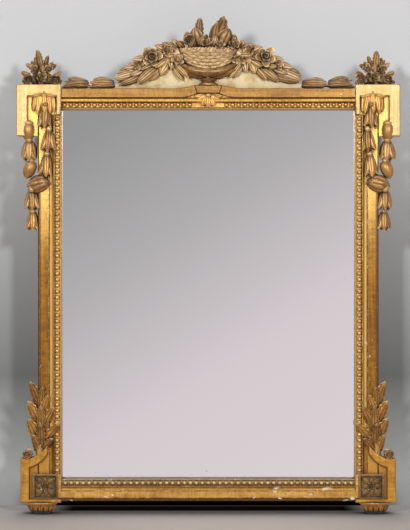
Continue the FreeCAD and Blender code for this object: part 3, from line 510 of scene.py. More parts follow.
class Cluster:
    """One carved piece: copies of blades and cores that are joined, in millimetres, for the left side."""

    PETALS = 5
    # Each ring of a flower: its share of the radius, and the lift of its petals in degrees.
    RINGS = ((1.0, 4.0), (0.7, 30.0), (0.46, 54.0))
    # Each petal of a husk: where it starts and ends across, its length and width, its depth and its roll.
    HUSK = ((0.06, 0.2, 1.0, 0.42, -5.0, 10.0), (-0.06, -0.2, 0.98, 0.42, -5.0, -10.0),
            (0.13, 0.3, 0.9, 0.62, -1.0, 30.0), (-0.13, -0.3, 0.92, 0.62, -1.0, -30.0),
            (0.0, 0.0, 0.97, 0.6, 4.0, 0.0))
    LEAF_STRAY = (3.0, 2.0, 5.0)  # how far a leaf's heading, tilt and roll may stray, in degrees
    PETAL_STRAY = (9.0, 0.12, 6.0)  # the same for a petal's heading, size and lift
    MARKS = 7.0  # size of the chisel's marks
    CREASE = 55.0  # edges sharper than this stay sharp, in degrees

    def __init__(self, carver: Carver, name: str, seed: int) -> None:
        """Starts an empty carving.

        Args:
            carver: The blades to copy.
            name: Name of the finished piece.
            seed: Seed for the small unevenness of handwork.
        """
        self.carver = carver
        self.name = name
        self.parts: list[Piece] = []
        self.hand = random.Random(seed)

    def uneven(self, amount: float) -> float:
        """Gives a small seeded deviation either way."""
        return self.hand.uniform(-amount, amount)

    def add(self, blade: str, place: Matrix) -> None:
        """Adds a copy of a blade, with its own mesh.

        Args:
            blade: Name of the blade.
            place: Its matrix.
        """
        copy = self.carver.kept[blade].copy()
        copy.data = copy.data.copy()
        copy.data.transform(place)
        bpy.context.scene.collection.objects.link(copy)
        self.parts.append(copy)

    def button(self, centre: Point, depth: float, size: Place) -> None:
        """Adds a button on the face."""
        self.add("button", seat(centre, depth, 90.0, size))

    def take(self, *objects: Piece) -> None:
        """Adds objects that were modelled in place, which carry no blade pattern.

        Args:
            *objects: The objects.
        """
        for part in objects:
            Bench.unmap(part)
        self.parts.extend(objects)

    def leaf(self, blade: str, root: Point, tip: Point, width: float, depth: float, tilt: float = 6.0,
             roll: float = 0.0, body: float = 1.0) -> None:
        """Adds a blade between two points of the face.

        Args:
            blade: Name of the blade.
            root: Where it starts, as x and height.
            tip: Where it ends.
            width: Its full width.
            depth: Depth of its root.
            tilt: Lift of its tip, in degrees.
            roll: Turn about its midrib, in degrees.
            body: How far it stands out, against its width.
        """
        turn, lift, twist = (self.uneven(amount) for amount in self.LEAF_STRAY)
        run = (tip[0] - root[0], tip[1] - root[1])
        length = math.hypot(*run) / math.cos(math.radians(tilt))
        heading = math.degrees(math.atan2(run[1], run[0])) + turn
        across = width / (2.0 * self.carver.half[blade])
        size = (across, length / Blade.LENGTH, across * body)
        self.add(blade, seat(root, depth, heading, size, tilt + lift, roll + twist))

    def flower(self, centre: Point, radius: float, depth: float, whorls: int = 3, lean: float = 0.0) -> None:
        """Adds a rose of petals set round a button.

        Args:
            centre: Its middle, as x and height.
            radius: Its outer radius.
            depth: Depth that its petals spring from.
            whorls: How many rings of petals it has.
            lean: How far it may nod to one side, in degrees.
        """
        spot = Vector((centre[0], BACK - depth, centre[1]))
        way = self.hand.uniform(0.0, math.tau)
        axis = Vector((math.cos(way), 0.0, math.sin(way)))
        swing = Matrix.Rotation(math.radians(lean * self.hand.uniform(0.5, 1.0)), 4, axis)
        nod = Matrix.Translation(spot) @ swing @ Matrix.Translation(-spot)
        pitch = 360.0 / self.PETALS
        hub = 0.06 * radius
        turn = self.hand.uniform(0.0, pitch)
        for ring, (share, lift) in enumerate(self.RINGS[:whorls]):
            for petal in range(self.PETALS):
                stray, swell, raised = (self.uneven(amount) for amount in self.PETAL_STRAY)
                heading = turn + pitch * (0.5 * ring + petal) + stray
                grow = radius * share / Blade.LENGTH * (1.0 + swell)
                angle = math.radians(heading)
                root = (centre[0] + hub * math.cos(angle), centre[1] + hub * math.sin(angle))
                size = (grow, 1.05 * grow, grow)
                self.add("petal", nod @ seat(root, depth + 1.5 * ring, heading, size, lift + raised))
        knob = ball(radius * 0.005)
        self.add("button", nod @ seat(centre, depth + 0.18 * radius, 90.0, knob))

    def husk(self, root: Point, heading: float, length: float, width: float, depth: float) -> None:
        """Adds one bellflower husk: three plump petals over two that show between them.

        Args:
            root: Where its stalk is.
            heading: Direction of its mouth, in degrees.
            length: Its length.
            width: Its width.
            depth: Depth of its axis.
        """
        angle = math.radians(heading)
        along = (math.cos(angle), math.sin(angle))
        for start, end, reach, wide, out, roll in self.HUSK:
            first, last, far = start * width, end * width, reach * length
            base = (root[0] + first * along[1], root[1] - first * along[0])
            tip = (root[0] + far * along[0] + last * along[1], root[1] + far * along[1] - last * along[0])
            self.leaf("sepal", base, tip, wide * width, depth + out, 1.0, roll)
        self.button(root, depth + 3.0, ball(0.0036 * width))

    def join(self, side: Side = Side.LEFT, rough: float = 0.35) -> Piece:
        """Joins the parts, gives the surface the slight unevenness of a chisel, and moves it to its side.

        Args:
            side: The side of the mirror it is for.
            rough: Height of the unevenness, in millimetres.

        Returns:
            The piece, in metres, with its place in its mesh.
        """
        Bench.clear()
        for part in self.parts:
            part.select_set(True)
        bpy.context.view_layer.objects.active = self.parts[0]
        bpy.ops.object.join()
        piece = Bench.added(self.name)
        piece.data.name = self.name
        marks = bpy.data.textures.new(self.name + "_marks", "CLOUDS")
        marks.noise_scale = self.MARKS
        Bench.modify(piece, "DISPLACE", texture=marks, strength=2.0 * rough, mid_level=0.5,
                     texture_coords="LOCAL")
        bpy.data.textures.remove(marks)
        flip = -1.0 if side is Side.RIGHT else 1.0
        piece.data.transform(Matrix.Diagonal((flip * MM, MM, MM, 1.0)))
        if side is Side.RIGHT:
            piece.data.flip_normals()
        Bench.choose(piece)
        bpy.ops.object.shade_smooth_by_angle(angle=math.radians(self.CREASE))
        return piece


# Finishes


class Shade:
    """One number of a shader. Arithmetic on it adds Math nodes to its board."""

    def __init__(self, board: "Board", socket: Socket) -> None:
        """Wraps a socket.

        Args:
            board: The board that the socket is on.
            socket: The output that gives the number.
        """
        self.board = board
        self.socket = socket

    def __add__(self, other: "Number") -> "Shade":
        """Adds."""
        return self.board.math("ADD", self, other)

    def __radd__(self, other: "Number") -> "Shade":
        """Adds to a number."""
        return self.board.math("ADD", other, self)

    def __sub__(self, other: "Number") -> "Shade":
        """Subtracts."""
        return self.board.math("SUBTRACT", self, other)

    def __rsub__(self, other: "Number") -> "Shade":
        """Subtracts from a number."""
        return self.board.math("SUBTRACT", other, self)

    def __mul__(self, other: "Number") -> "Shade":
        """Multiplies."""
        return self.board.math("MULTIPLY", self, other)

    def __rmul__(self, other: "Number") -> "Shade":
        """Multiplies a number."""
        return self.board.math("MULTIPLY", other, self)

    def held(self) -> "Shade":
        """Keeps the number between 0 and 1."""
        return self.board.math("ADD", self, 0.0, clamp=True)

    def part(self) -> "Shade":
        """Gives the part after the decimal point."""
        return self.board.math("FRACT", self, 0.0)

    def size(self) -> "Shade":
        """Gives the number without its sign."""
        return self.board.math("ABSOLUTE", self, 0.0)


Number = Union[Shade, float]
Tint = Union[Socket, Colour]
Inputs = dict[Union[str, int], Any]


class Board:
    """The node board of one finish or of the world."""

    SAMPLES = 6  # rays that look for hollows and edges

    def __init__(self, tree: bpy.types.NodeTree) -> None:
        """Starts with an empty board."""
        self.tree = tree
        tree.nodes.clear()

    def node(self, kind: str, settings: dict[str, Any], inputs: Inputs) -> bpy.types.Node:
        """Adds a node.

        Args:
            kind: The node's type.
            settings: Its settings; "stops" are a ramp's places and colours.
            inputs: Values or links of its sockets, by name or number.

        Returns:
            The node.
        """
        node = self.tree.nodes.new(kind)
        for key, value in settings.items():
            if key == "stops":
                while len(node.color_ramp.elements) < len(value):
                    node.color_ramp.elements.new(1.0)
                for stop, (place, colour) in zip(node.color_ramp.elements, value):
                    stop.position = place
                    stop.color = colour
            else:
                setattr(node, key, value)
        for key, value in inputs.items():
            if isinstance(value, Shade):
                self.tree.links.new(value.socket, node.inputs[key])
            elif isinstance(value, bpy.types.NodeSocket):
                self.tree.links.new(value, node.inputs[key])
            else:
                node.inputs[key].default_value = value
        return node

    def math(self, operation: str, first: Number, second: Number, clamp: bool = False) -> Shade:
        """Adds a Math node.

        Args:
            operation: What it does.
            first: Its first number.
            second: Its second number.
            clamp: Whether the result stays between 0 and 1.

        Returns:
            The result.
        """
        settings = {"operation": operation, "use_clamp": clamp}
        return Shade(self, self.node("ShaderNodeMath", settings, {0: first, 1: second}).outputs[0])

    def mix(self, factor: Number, first: Tint, second: Tint) -> Socket:
        """Mixes two colours.

        Args:
            factor: The share of the second.
            first: The first colour.
            second: The second colour.

        Returns:
            The mixed colour.
        """
        settings = {"data_type": "RGBA", "clamp_factor": True}
        return self.node("ShaderNodeMix", settings, {0: factor, 6: first, 7: second}).outputs[2]

    def ramp(self, stops: Sequence[tuple[float, Colour]], factor: Shade) -> Socket:
        """Gives a colour between those of several stops."""
        return self.node("ShaderNodeValToRGB", {"stops": stops}, {0: factor}).outputs[0]

    def coords(self, output: str) -> Socket:
        """Gives one output of the Texture Coordinate node."""
        return self.node("ShaderNodeTexCoord", {}, {}).outputs[output]

    def places(self, scale: Place = (1.0, 1.0, 1.0)) -> Socket:
        """Gives Object coordinates.

        Args:
            scale: How they are stretched along each axis.

        Returns:
            The coordinates.
        """
        coords = self.coords("Object")
        if scale == (1.0, 1.0, 1.0):
            return coords
        return self.node("ShaderNodeMapping", {}, {"Vector": coords, "Scale": scale}).outputs[0]

    def axes(self, vector: Socket) -> tuple[Shade, Shade, Shade]:
        """Splits a vector into its three numbers."""
        outputs = self.node("ShaderNodeSeparateXYZ", {}, {0: vector}).outputs
        return Shade(self, outputs[0]), Shade(self, outputs[1]), Shade(self, outputs[2])

    def noise(self, place: Socket, scale: float, detail: float = 3.0, rough: float = 0.55) -> Shade:
        """Gives a cloudy pattern.

        Args:
            place: Coordinates.
            scale: Repeats to the metre.
            detail: Finer layers.
            rough: Strength of the finer layers.

        Returns:
            The pattern, about 0.5.
        """
        inputs = {"Vector": place, "Scale": scale, "Detail": detail, "Roughness": rough}
        return Shade(self, self.node("ShaderNodeTexNoise", {}, inputs).outputs[0])

    def cells(self, place: Socket, scale: float) -> Shade:
        """Gives a pattern of cells.

        Args:
            place: Coordinates.
            scale: Cells to the metre.

        Returns:
            The distance to the edge of the cell.
        """
        inputs = {"Vector": place, "Scale": scale}
        node = self.node("ShaderNodeTexVoronoi", {"feature": "DISTANCE_TO_EDGE"}, inputs)
        return Shade(self, node.outputs["Distance"])

    def step(self, value: Number, start: float, end: float) -> Shade:
        """Gives a smooth rise from 0 to 1.

        Args:
            value: The number that it follows.
            start: Where it is still 0.
            end: Where it is 1, above the start or below it.

        Returns:
            The rise.
        """
        inputs = {0: value, 1: start, 2: end, 3: 0.0, 4: 1.0}
        node = self.node("ShaderNodeMapRange", {"interpolation_type": "SMOOTHSTEP", "clamp": True}, inputs)
        return Shade(self, node.outputs[0])

    def hollows(self, distance: float) -> Shade:
        """Gives 1 deep in a hollow and 0 in the open."""
        node = self.node("ShaderNodeAmbientOcclusion", {"samples": self.SAMPLES}, {"Distance": distance})
        return 1.0 - Shade(self, node.outputs["AO"])

    def geometry(self, output: str) -> Socket:
        """Gives one output of the Geometry node."""
        return self.node("ShaderNodeNewGeometry", {}, {}).outputs[output]

    def rounded(self, radius: float) -> Socket:
        """Gives a normal that is rounded over the edges of a piece."""
        return self.node("ShaderNodeBevel", {"samples": self.SAMPLES}, {"Radius": radius}).outputs[0]

    def edges(self, normal: Socket) -> Shade:
        """Finds the edges of a piece.

        Args:
            normal: A rounded normal.

        Returns:
            1 on an edge and 0 on a flat.
        """
        inputs = {0: normal, 1: self.geometry("Normal")}
        dot = self.node("ShaderNodeVectorMath", {"operation": "DOT_PRODUCT"}, inputs).outputs["Value"]
        return self.step(1.0 - Shade(self, dot), 0.004, 0.1)

    def bare_back(self, colour: Socket, across: Shade, grain: Shade) -> tuple[Socket, Shade]:
        """Leaves bare wood on what faces the wall.

        Args:
            colour: The colour of the other sides.
            across: The part of the normal that points at the wall.
            grain: The pattern of the wood.

        Returns:
            The colour, and where the wood shows.
        """
        behind = self.step(across, 0.6, 0.8)
        return self.mix(behind, colour, self.mix(grain, OLD_WOOD, OLD_GRAIN)), behind

    def bump(self, height: Shade, distance: float, strength: float, normal: Socket) -> Socket:
        """Gives a bumped normal.

        Args:
            height: The height pattern.
            distance: What a height of 1 is, in metres.
            strength: Strength of the effect.
            normal: The normal to start from.

        Returns:
            The normal.
        """
        inputs = {"Height": height, "Distance": distance, "Strength": strength, "Normal": normal}
        return self.node("ShaderNodeBump", {}, inputs).outputs[0]

    def surface(self, inputs: Inputs) -> None:
        """Ends the board in a principled surface with the given inputs."""
        shader = self.node("ShaderNodeBsdfPrincipled", {}, inputs).outputs[0]
        self.node("ShaderNodeOutputMaterial", {}, {0: shader})


def new_finish(name: str) -> tuple[Material, Board]:
    """Makes an empty material.

    Args:
        name: The finish's name.

    Returns:
        The material and its board.
    """
    material = bpy.data.materials.new(name)
    material.use_nodes = True
    return material, Board(material.node_tree)


@dataclass(frozen=True)
class Face:
    """Places on the face of the frame that the gilding follows, in metres.

    A pair is where a change starts and where it is complete. A strip's middle is a height, and its
    ends are measured from there.
    """

    upper: Point = (0.62, 0.96)  # height: painted light, the stiles painted lighter towards the ears
    lower: Point = (0.75, 0.3)  # height: painted shade, the stiles painted darker downwards
    base: Point = (0.185, 0.15)  # height: painted light, the base blocks painted lighter again
    edge: Point = (0.4, 0.404)  # off the middle: the rubbed outer edge of the stiles
    edge_middle: float = 0.49
    edge_ends: Point = (0.34, 0.31)
    cove: Point = (0.381, 0.3785)  # off the middle: the cove beside the bead strips, painted as a highlight
    cove_middle: float = 0.535
    cove_ends: Point = (0.36, 0.34)
    lip: Point = (0.3576, 0.3564)  # off the middle: the lip round the glass, darkened with painted shade
    lip_middle: float = 0.528
    lip_ends: Point = (0.4486, 0.4474)
    under: Point = (0.0405, 0.0375)  # height: the lower edge of the bottom rail, darkened with painted shade


FACE = Face()


@dataclass(frozen=True)
class Gilding:
    """Gold leaf on red bole and gesso, rubbed and soiled with age, darkened in its hollows with painted shade
    and given painted light and highlights, over bare wood at the back.
    """

    name: str
    leaf: Colour
    deep: Colour
    rub: float = 0.5
    chips: float = 0.0
    metal: float = 0.7
    shine: float = 0.34
    # how dark the hollows get, with soiling and painted shade
    grime_and_shade: float = 0.85
    # share of pale grey on upward faces: partly dusting, partly painted light from above
    dust_and_top_light: float = 0.0
    grain: Place = (120.0, 120.0, 7.0)
    rubs: Place = (45.0, 45.0, 240.0)
    flakes: Place = (90.0, 80.0, 40.0)
    # reach of the painted shade band along raised edges, in metres; 0 leaves it out
    shade_halo: float = 0.0
    rim: float = 0.0
    lower_edge_shade: float = 0.0
    varied: float = 0.0
    # how much painted shade darkens the lower edge of the bottom rail
    veins: float = 1.0
    carved: bool = False
    # colour of the painted light on the upper ends of the stiles; None leaves it out
    painted_lit: Union[Colour, None] = None
    bole: Colour = srgb(84, 42, 22)
    # colour of the soiling and painted shade in hollows, veins and roots
    dirt_and_shade: Colour = srgb(24, 15, 7)
    gesso: Colour = srgb(232, 222, 200)
    # the paler tips of carved blades: partly rubbed gilding, partly a painted highlight
    pale: Colour = srgb(236, 204, 152)
    shadow: Colour = srgb(118, 74, 26)
    # colour of the painted light on the base blocks
    low: Colour = srgb(198, 144, 62)
    # colour of the painted highlight in the cove beside the bead strips
    bright: Colour = srgb(214, 168, 86)
    # colour of the painted highlights on edges and crests
    painted_glint: Colour = srgb(255, 232, 168)
    # grey of the dusting and painted light on upward faces, and of the random grey blades
    grey: Colour = srgb(204, 172, 134)

    def make(self) -> Material:
        """Makes the material.

        Returns:
            The material.
        """
        material, board = new_finish(self.name)
        Gilder(self, board).lay()
        return material


class Gilder:
    """Lays one gilding on its board, layer over layer. Sizes are in metres."""

    CARVED_HOLLOW = 0.016  # how wide a hollow of the carving is darkened with soiling and painted shade
    PLAIN_HOLLOW = 0.01  # the same on mouldings
    ARRIS = 0.0016  # radius of an edge of the mouldings
    RUBBED = 0.0042  # how far from an edge the leaf is rubbed
    GRAIN = (300.0, 60.0, 14.0)  # repeats of the wood's grain at the back, to the metre

    def __init__(self, finish: Gilding, board: Board) -> None:
        """Prepares the patterns that the layers share.

        Args:
            finish: The gilding.
            board: Its board.
        """
        place = board.places()
        self.finish = finish
        self.board = board
        self.x, _, self.z = board.axes(place)
        self.normals = board.axes(board.coords("Normal"))
        self.broad = board.noise(place, 9.0, 3.0)
        self.cloud = board.noise(place, 60.0, 5.0, 0.6)
        self.fine = board.noise(place, 400.0, 4.0, 0.6)
        self.streaks = board.noise(board.places(finish.grain), 1.0, 4.0, 0.6)
        self.colour: Tint = finish.leaf
        # where painted light lies on the stiles
        self.bright: Number = 1.0
        # where the cove's painted highlight lies
        self.cove: Number = 0.0
        self.groove: Number = 0.0

    def paint(self, mask: Number, colour: Tint) -> None:
        """Lays a colour over what is there, where a mask says."""
        self.colour = self.board.mix(mask, self.colour, colour)

    def wavy(self, amount: float) -> Shade:
        """Gives a small uneven shift, to make the edge of a mask ragged."""
        return (self.cloud - 0.5) * amount

    def lay(self) -> None:
        """Lays every layer, from the leaf to the bare back."""
        finish, board = self.finish, self.board
        tone = self.leaf()
        if finish.painted_lit is not None:
            self.paint_light_and_edge(tone, finish.painted_lit)
        # painted shade: a brown band along the foot of raised edges, weighted on the stiles by where painted
        # light lies
        if finish.shade_halo:
            self.paint(board.step(board.hollows(finish.shade_halo), 0.05, 0.4) * 0.8 * self.bright, finish.shadow)
        # upward faces paler: partly dusting, partly painted light from above
        if finish.dust_and_top_light:
            lying = board.step(self.normals[2] + self.wavy(2.0), 0.1, 0.9)
            self.paint(lying * finish.dust_and_top_light, finish.grey)
        if finish.carved:
            hollow = board.hollows(self.CARVED_HOLLOW)
            normal = board.geometry("Normal")
            ridge = board.step(Shade(board, board.geometry("Pointiness")), 0.52, 0.62)
            darks = self.blades()
        else:
            hollow = board.hollows(self.PLAIN_HOLLOW)
            normal = board.rounded(self.ARRIS)
            ridge = board.edges(board.rounded(self.RUBBED))
            darks = self.mouldings()
        # hollows darkened with soiling and painted shade
        self.age(ridge, board.step(hollow, 0.16, 0.7) * finish.grime_and_shade + darks, normal)

    def leaf(self) -> Shade:
        """Lays the leaf in lighter and deeper patches, which on carving also change from blade to blade.

        Returns:
            The pattern of the patches.
        """
        finish, board = self.finish, self.board
        tone = board.step(self.broad * 0.45 + self.cloud * 0.55, 0.36, 0.64)
        if finish.carved:
            chance = Shade(board, board.geometry("Random Per Island"))
            self.colour = board.mix(tone * 0.5 + chance * 0.5, finish.deep, finish.leaf)
            self.paint(board.step((chance * 7.3).part(), 0.6, 0.9) * finish.varied, finish.grey)
            self.paint(board.step((chance * 13.7).part(), 0.7, 0.95) * finish.varied * 0.8, finish.bole)
            return tone
        rubs = board.noise(board.places(finish.rubs), 1.0, 4.0, 0.65)
        tone = tone * 0.35 + board.step(self.streaks, 0.36, 0.64) * 0.35 + board.step(rubs, 0.38, 0.62) * 0.3
        self.colour = board.mix(tone, finish.deep, finish.leaf)
        return tone

    def paint_light_and_edge(self, tone: Shade, painted_lit: Colour) -> None:
        """Paints light on the stiles' upper ends and base blocks, painted shade lower down and a painted
        highlight in their cove, and gives them their rubbed outer edge.

        Args:
            tone: The pattern of the patches.
            painted_lit: The colour of the upper end.
        """
        finish, board, off = self.finish, self.board, self.x.size()
        high = board.step(self.z + self.cloud * 0.1, *FACE.upper)
        low = board.step(self.z, *FACE.base)
        # painted light: the upper ends lighter, and the base blocks lighter again
        self.paint(high * (tone * 0.4 + 0.6), painted_lit)
        self.paint(low * 0.8, finish.low)
        # painted shade: darker downwards, above the base blocks
        self.paint(board.step(self.z, *FACE.lower) * (1.0 - low) * 0.2, finish.deep)
        edge = board.step(off + self.wavy(0.003), *FACE.edge)
        self.paint(edge * board.step((self.z - FACE.edge_middle).size(), *FACE.edge_ends) * 0.85, finish.bole)
        # painted highlight in the cove beside the bead strips
        ends = board.step((self.z - FACE.cove_middle).size(), *FACE.cove_ends)
        self.cove = board.step(off, *FACE.cove) * ends
        self.paint(self.cove * 0.8, finish.bright)
        self.bright = high + low

    def blades(self) -> Shade:
        """Lightens the tips of carved blades, partly as rubbed gilding and partly as a painted highlight,
        paints shade into their veins and roots, and cuts their veins.

        Returns:
            How much painted shade lies in the veins and at the roots.
        """
        finish, board = self.finish, self.board
        across, along, _ = board.axes(board.node("ShaderNodeUVMap", {"uv_map": "UVMap"}, {}).outputs[0])
        blade = board.step(along, 0.0, 0.01) * finish.veins
        self.groove = board.step((across.part() - 0.5).size(), 0.22, 0.02) * blade
        # paler tips: partly rubbed gilding, partly a painted highlight
        self.paint(board.step(along + self.wavy(0.3), 0.82, 1.0) * blade * 0.55, finish.pale)
        # painted shade in the veins and at the roots
        return self.groove * 0.7 + board.step(along, 0.36, 0.04) * blade * 0.5

    def mouldings(self) -> Shade:
        """Paints shade on the lower edge of the bottom rail and on the lip round the glass, and darkens what
        faces up.

        Returns:
            How dark those places are.
        """
        finish, board = self.finish, self.board
        # painted shade on the lip round the glass
        ends = board.step((self.z - FACE.lip_middle).size(), *FACE.lip_ends)
        lip = board.step(self.x.size(), *FACE.lip) * ends
        # painted shade on the lower edge of the bottom rail
        self.paint(board.step(self.z + self.wavy(0.004), *FACE.under) * finish.lower_edge_shade, finish.bole)
        return lip * 0.3 + board.step(self.normals[2], 0.6, 0.9) * 0.45

    def age(self, ridge: Shade, dark: Shade, normal: Socket) -> None:
        """Rubs, soils and chips the leaf, lays painted shade and painted highlights, bares the back and ends
        the board.

        Args:
            ridge: Where the edges and crests are.
            dark: Where soiling and painted shade lie.
            normal: The normal that the bump starts from.
        """
        finish, board = self.finish, self.board
        wear = self.cloud * 0.5 + self.streaks * 0.2 + self.fine * 0.3 + ridge * 0.15
        worn = board.step(wear, 0.66 - 0.12 * finish.rub, 0.72 - 0.12 * finish.rub)
        self.paint(worn * 0.8, finish.bole)
        # painted highlights on edges and crests
        self.paint(ridge * (1.0 - worn) * board.step(self.fine, 0.4, 0.6) * 0.5, finish.painted_glint)
        self.paint(ridge * finish.rim, finish.bole)
        # soiling and painted shade
        soil_and_shade = dark.held()
        self.paint(soil_and_shade, finish.dirt_and_shade)
        flecks = board.noise(board.places(finish.flakes), 1.0, 3.0, 0.6) + ridge * 0.05 * finish.chips
        lost = board.step(flecks, 0.665, 0.68) * board.step(self.broad, 0.46, 0.54) * finish.chips
        self.paint(lost, finish.gesso)
        grain = board.noise(board.places(self.GRAIN), 1.0, 4.0)
        self.colour, behind = board.bare_back(self.colour, self.normals[1], grain)
        bare = (worn + lost + behind + soil_and_shade).held()
        relief = self.fine * 0.3 + self.streaks * 0.6 + self.cloud * 0.5
        cuts = worn * 0.3 + lost * 0.9 + self.groove * 0.9
        board.surface({"Base Color": self.colour,
                       "Roughness": finish.shine + bare * 0.35 + self.wavy(0.3),
                       "Metallic": (1.0 - bare) * finish.metal * (1.0 - self.cove * 0.6),
                       "Normal": board.bump(relief - cuts, 0.0012, 0.7, normal)})


@dataclass(frozen=True)
class IvoryPaint:
    """Old ivory paint on the crest panel, crazed and yellowed, with bare wood at the back."""

    name: str = "ivory_paint"
    paint: Colour = srgb(220, 202, 156)
    stain: Colour = srgb(186, 152, 96)
    crazing: Colour = srgb(120, 92, 56)
    # colour of the soiling and painted shade in hollows
    dirt_and_shade: Colour = srgb(110, 82, 46)

    def make(self) -> Material:
        """Makes the material.

        Returns:
            The material.
        """
        material, board = new_finish(self.name)
        place = board.places()
        cloud = board.noise(place, 30.0, 5.0, 0.6)
        fine = board.noise(place, 350.0, 4.0)
        colour = board.mix(board.step(cloud, 0.42, 0.72), self.paint, self.stain)
        crack = 1.0 - board.step(board.cells(place, 70.0), 0.0, 0.05)
        colour = board.mix(crack * 0.16, colour, self.crazing)
        # darker in hollows: soiling and painted shade
        colour = board.mix(board.step(board.hollows(0.02), 0.1, 0.8) * 0.6, colour, self.dirt_and_shade)
        grain = board.noise(board.places((14.0, 60.0, 300.0)), 1.0, 4.0)
        colour, _ = board.bare_back(colour, board.axes(board.coords("Normal"))[1], grain)
        bumped = board.bump(fine * 0.4 - crack * 0.5 + grain * 0.3, 0.0005, 0.5, board.rounded(0.001))
        board.surface({"Base Color": colour, "Roughness": cloud * 0.2 + 0.5, "Normal": bumped})
        return material


@dataclass(frozen=True)
class BareWood:
    """Unpainted softwood gone brown, with its grain along one axis."""

    name: str
    along: int
    pale: Colour = srgb(158, 122, 80)
    dark: Colour = srgb(98, 68, 40)
    stain: Colour = srgb(74, 52, 32)
    # colour of the soiling and painted shade in hollows
    dirt_and_shade: Colour = srgb(50, 34, 20)

    def stretched(self, across: float, along: float) -> Place:
        """Gives the repeats to the metre on each axis.

        Args:
            across: Repeats across the grain.
            along: Repeats along it.

        Returns:
            The repeats on X, Y and Z.
        """
        x, y, z = (along if axis == self.along else across for axis in range(3))
        return (x, y, z)

    def make(self) -> Material:
        """Makes the material.

        Returns:
            The material.
        """
        material, board = new_finish(self.name)
        bands = board.noise(board.places(self.stretched(95.0, 5.0)), 1.0, 4.0, 0.65)
        fibres = board.noise(board.places(self.stretched(700.0, 18.0)), 1.0, 3.0)
        late = board.step((bands * 7.0).part(), 0.55, 0.95) * 0.6 + fibres * 0.4
        colour = board.mix(late, self.pale, self.dark)
        stain = board.step(board.noise(board.places(), 7.0, 4.0), 0.5, 0.75)
        colour = board.mix(stain * 0.45, colour, self.stain)
        # darker in hollows: soiling and painted shade
        colour = board.mix(board.step(board.hollows(0.01), 0.2, 0.9) * 0.5, colour, self.dirt_and_shade)
        bumped = board.bump(fibres * 0.5 - late * 0.3, 0.0006, 0.6, board.rounded(0.0008))
        board.surface({"Base Color": colour, "Roughness": fibres * 0.15 + 0.62, "Normal": bumped})
        return material


@dataclass(frozen=True)
class MirrorPlate:
    """Old silvered plate, clear in the middle, with slight foxing towards its edges, in metres."""

    name: str = "mirror_plate"
    half_width: float = 0.353
    middle: float = 0.528
    half_height: float = 0.444
    margin: Point = (0.05, 0.06)
    clear: Colour = srgb(250, 249, 250)
    foxing: Colour = srgb(92, 84, 72)

    def make(self) -> Material:
        """Makes the material.

        Returns:
            The material.
        """
        material, board = new_finish(self.name)
        place = board.places()
        x, _, z = board.axes(place)
        near_side = board.step(x.size(), self.half_width - self.margin[0], self.half_width)
        near_end = board.step((z - self.middle).size(), self.half_height - self.margin[1], self.half_height)
        rim = (near_side + near_end).held()
        spots = board.step(board.noise(place, 120.0, 6.0, 0.7) + rim * 0.08, 0.72, 0.8) * rim
        haze = board.noise(place, 4.0, 4.0)
        colour = board.mix(spots * 0.8, self.clear, self.foxing)
        rough = spots * 0.3 + haze * 0.02 + 0.012
        board.surface({"Base Color": colour, "Roughness": rough, "Metallic": 1.0})
        return material


@dataclass(frozen=True)
class PlainMetal:
    """Forged metal or the coat behind the glass, with a mottled second colour."""

    name: str
    colour: Colour
    mottle: Colour
    metal: float
    rough: float
    edge: Colour = srgb(150, 146, 140)

    def make(self) -> Material:
        """Makes the material.

        Returns:
            The material.
        """
        material, board = new_finish(self.name)
        place = board.places()
        rust = board.step(board.noise(place, 160.0, 5.0, 0.65), 0.5, 0.68)
        fine = board.noise(place, 900.0, 3.0)
        normal = board.rounded(0.0006)
        colour = board.mix(rust, self.colour, self.mottle)
        colour = board.mix(board.edges(normal) * 0.35, colour, self.edge)
        board.surface({"Base Color": colour,
                       "Roughness": rust * 0.25 + self.rough,
                       "Metallic": (1.0 - rust * 0.7) * self.metal,
                       "Normal": board.bump(fine * 0.4 + rust * 0.4, 0.0003, 0.5, normal)})
        return material


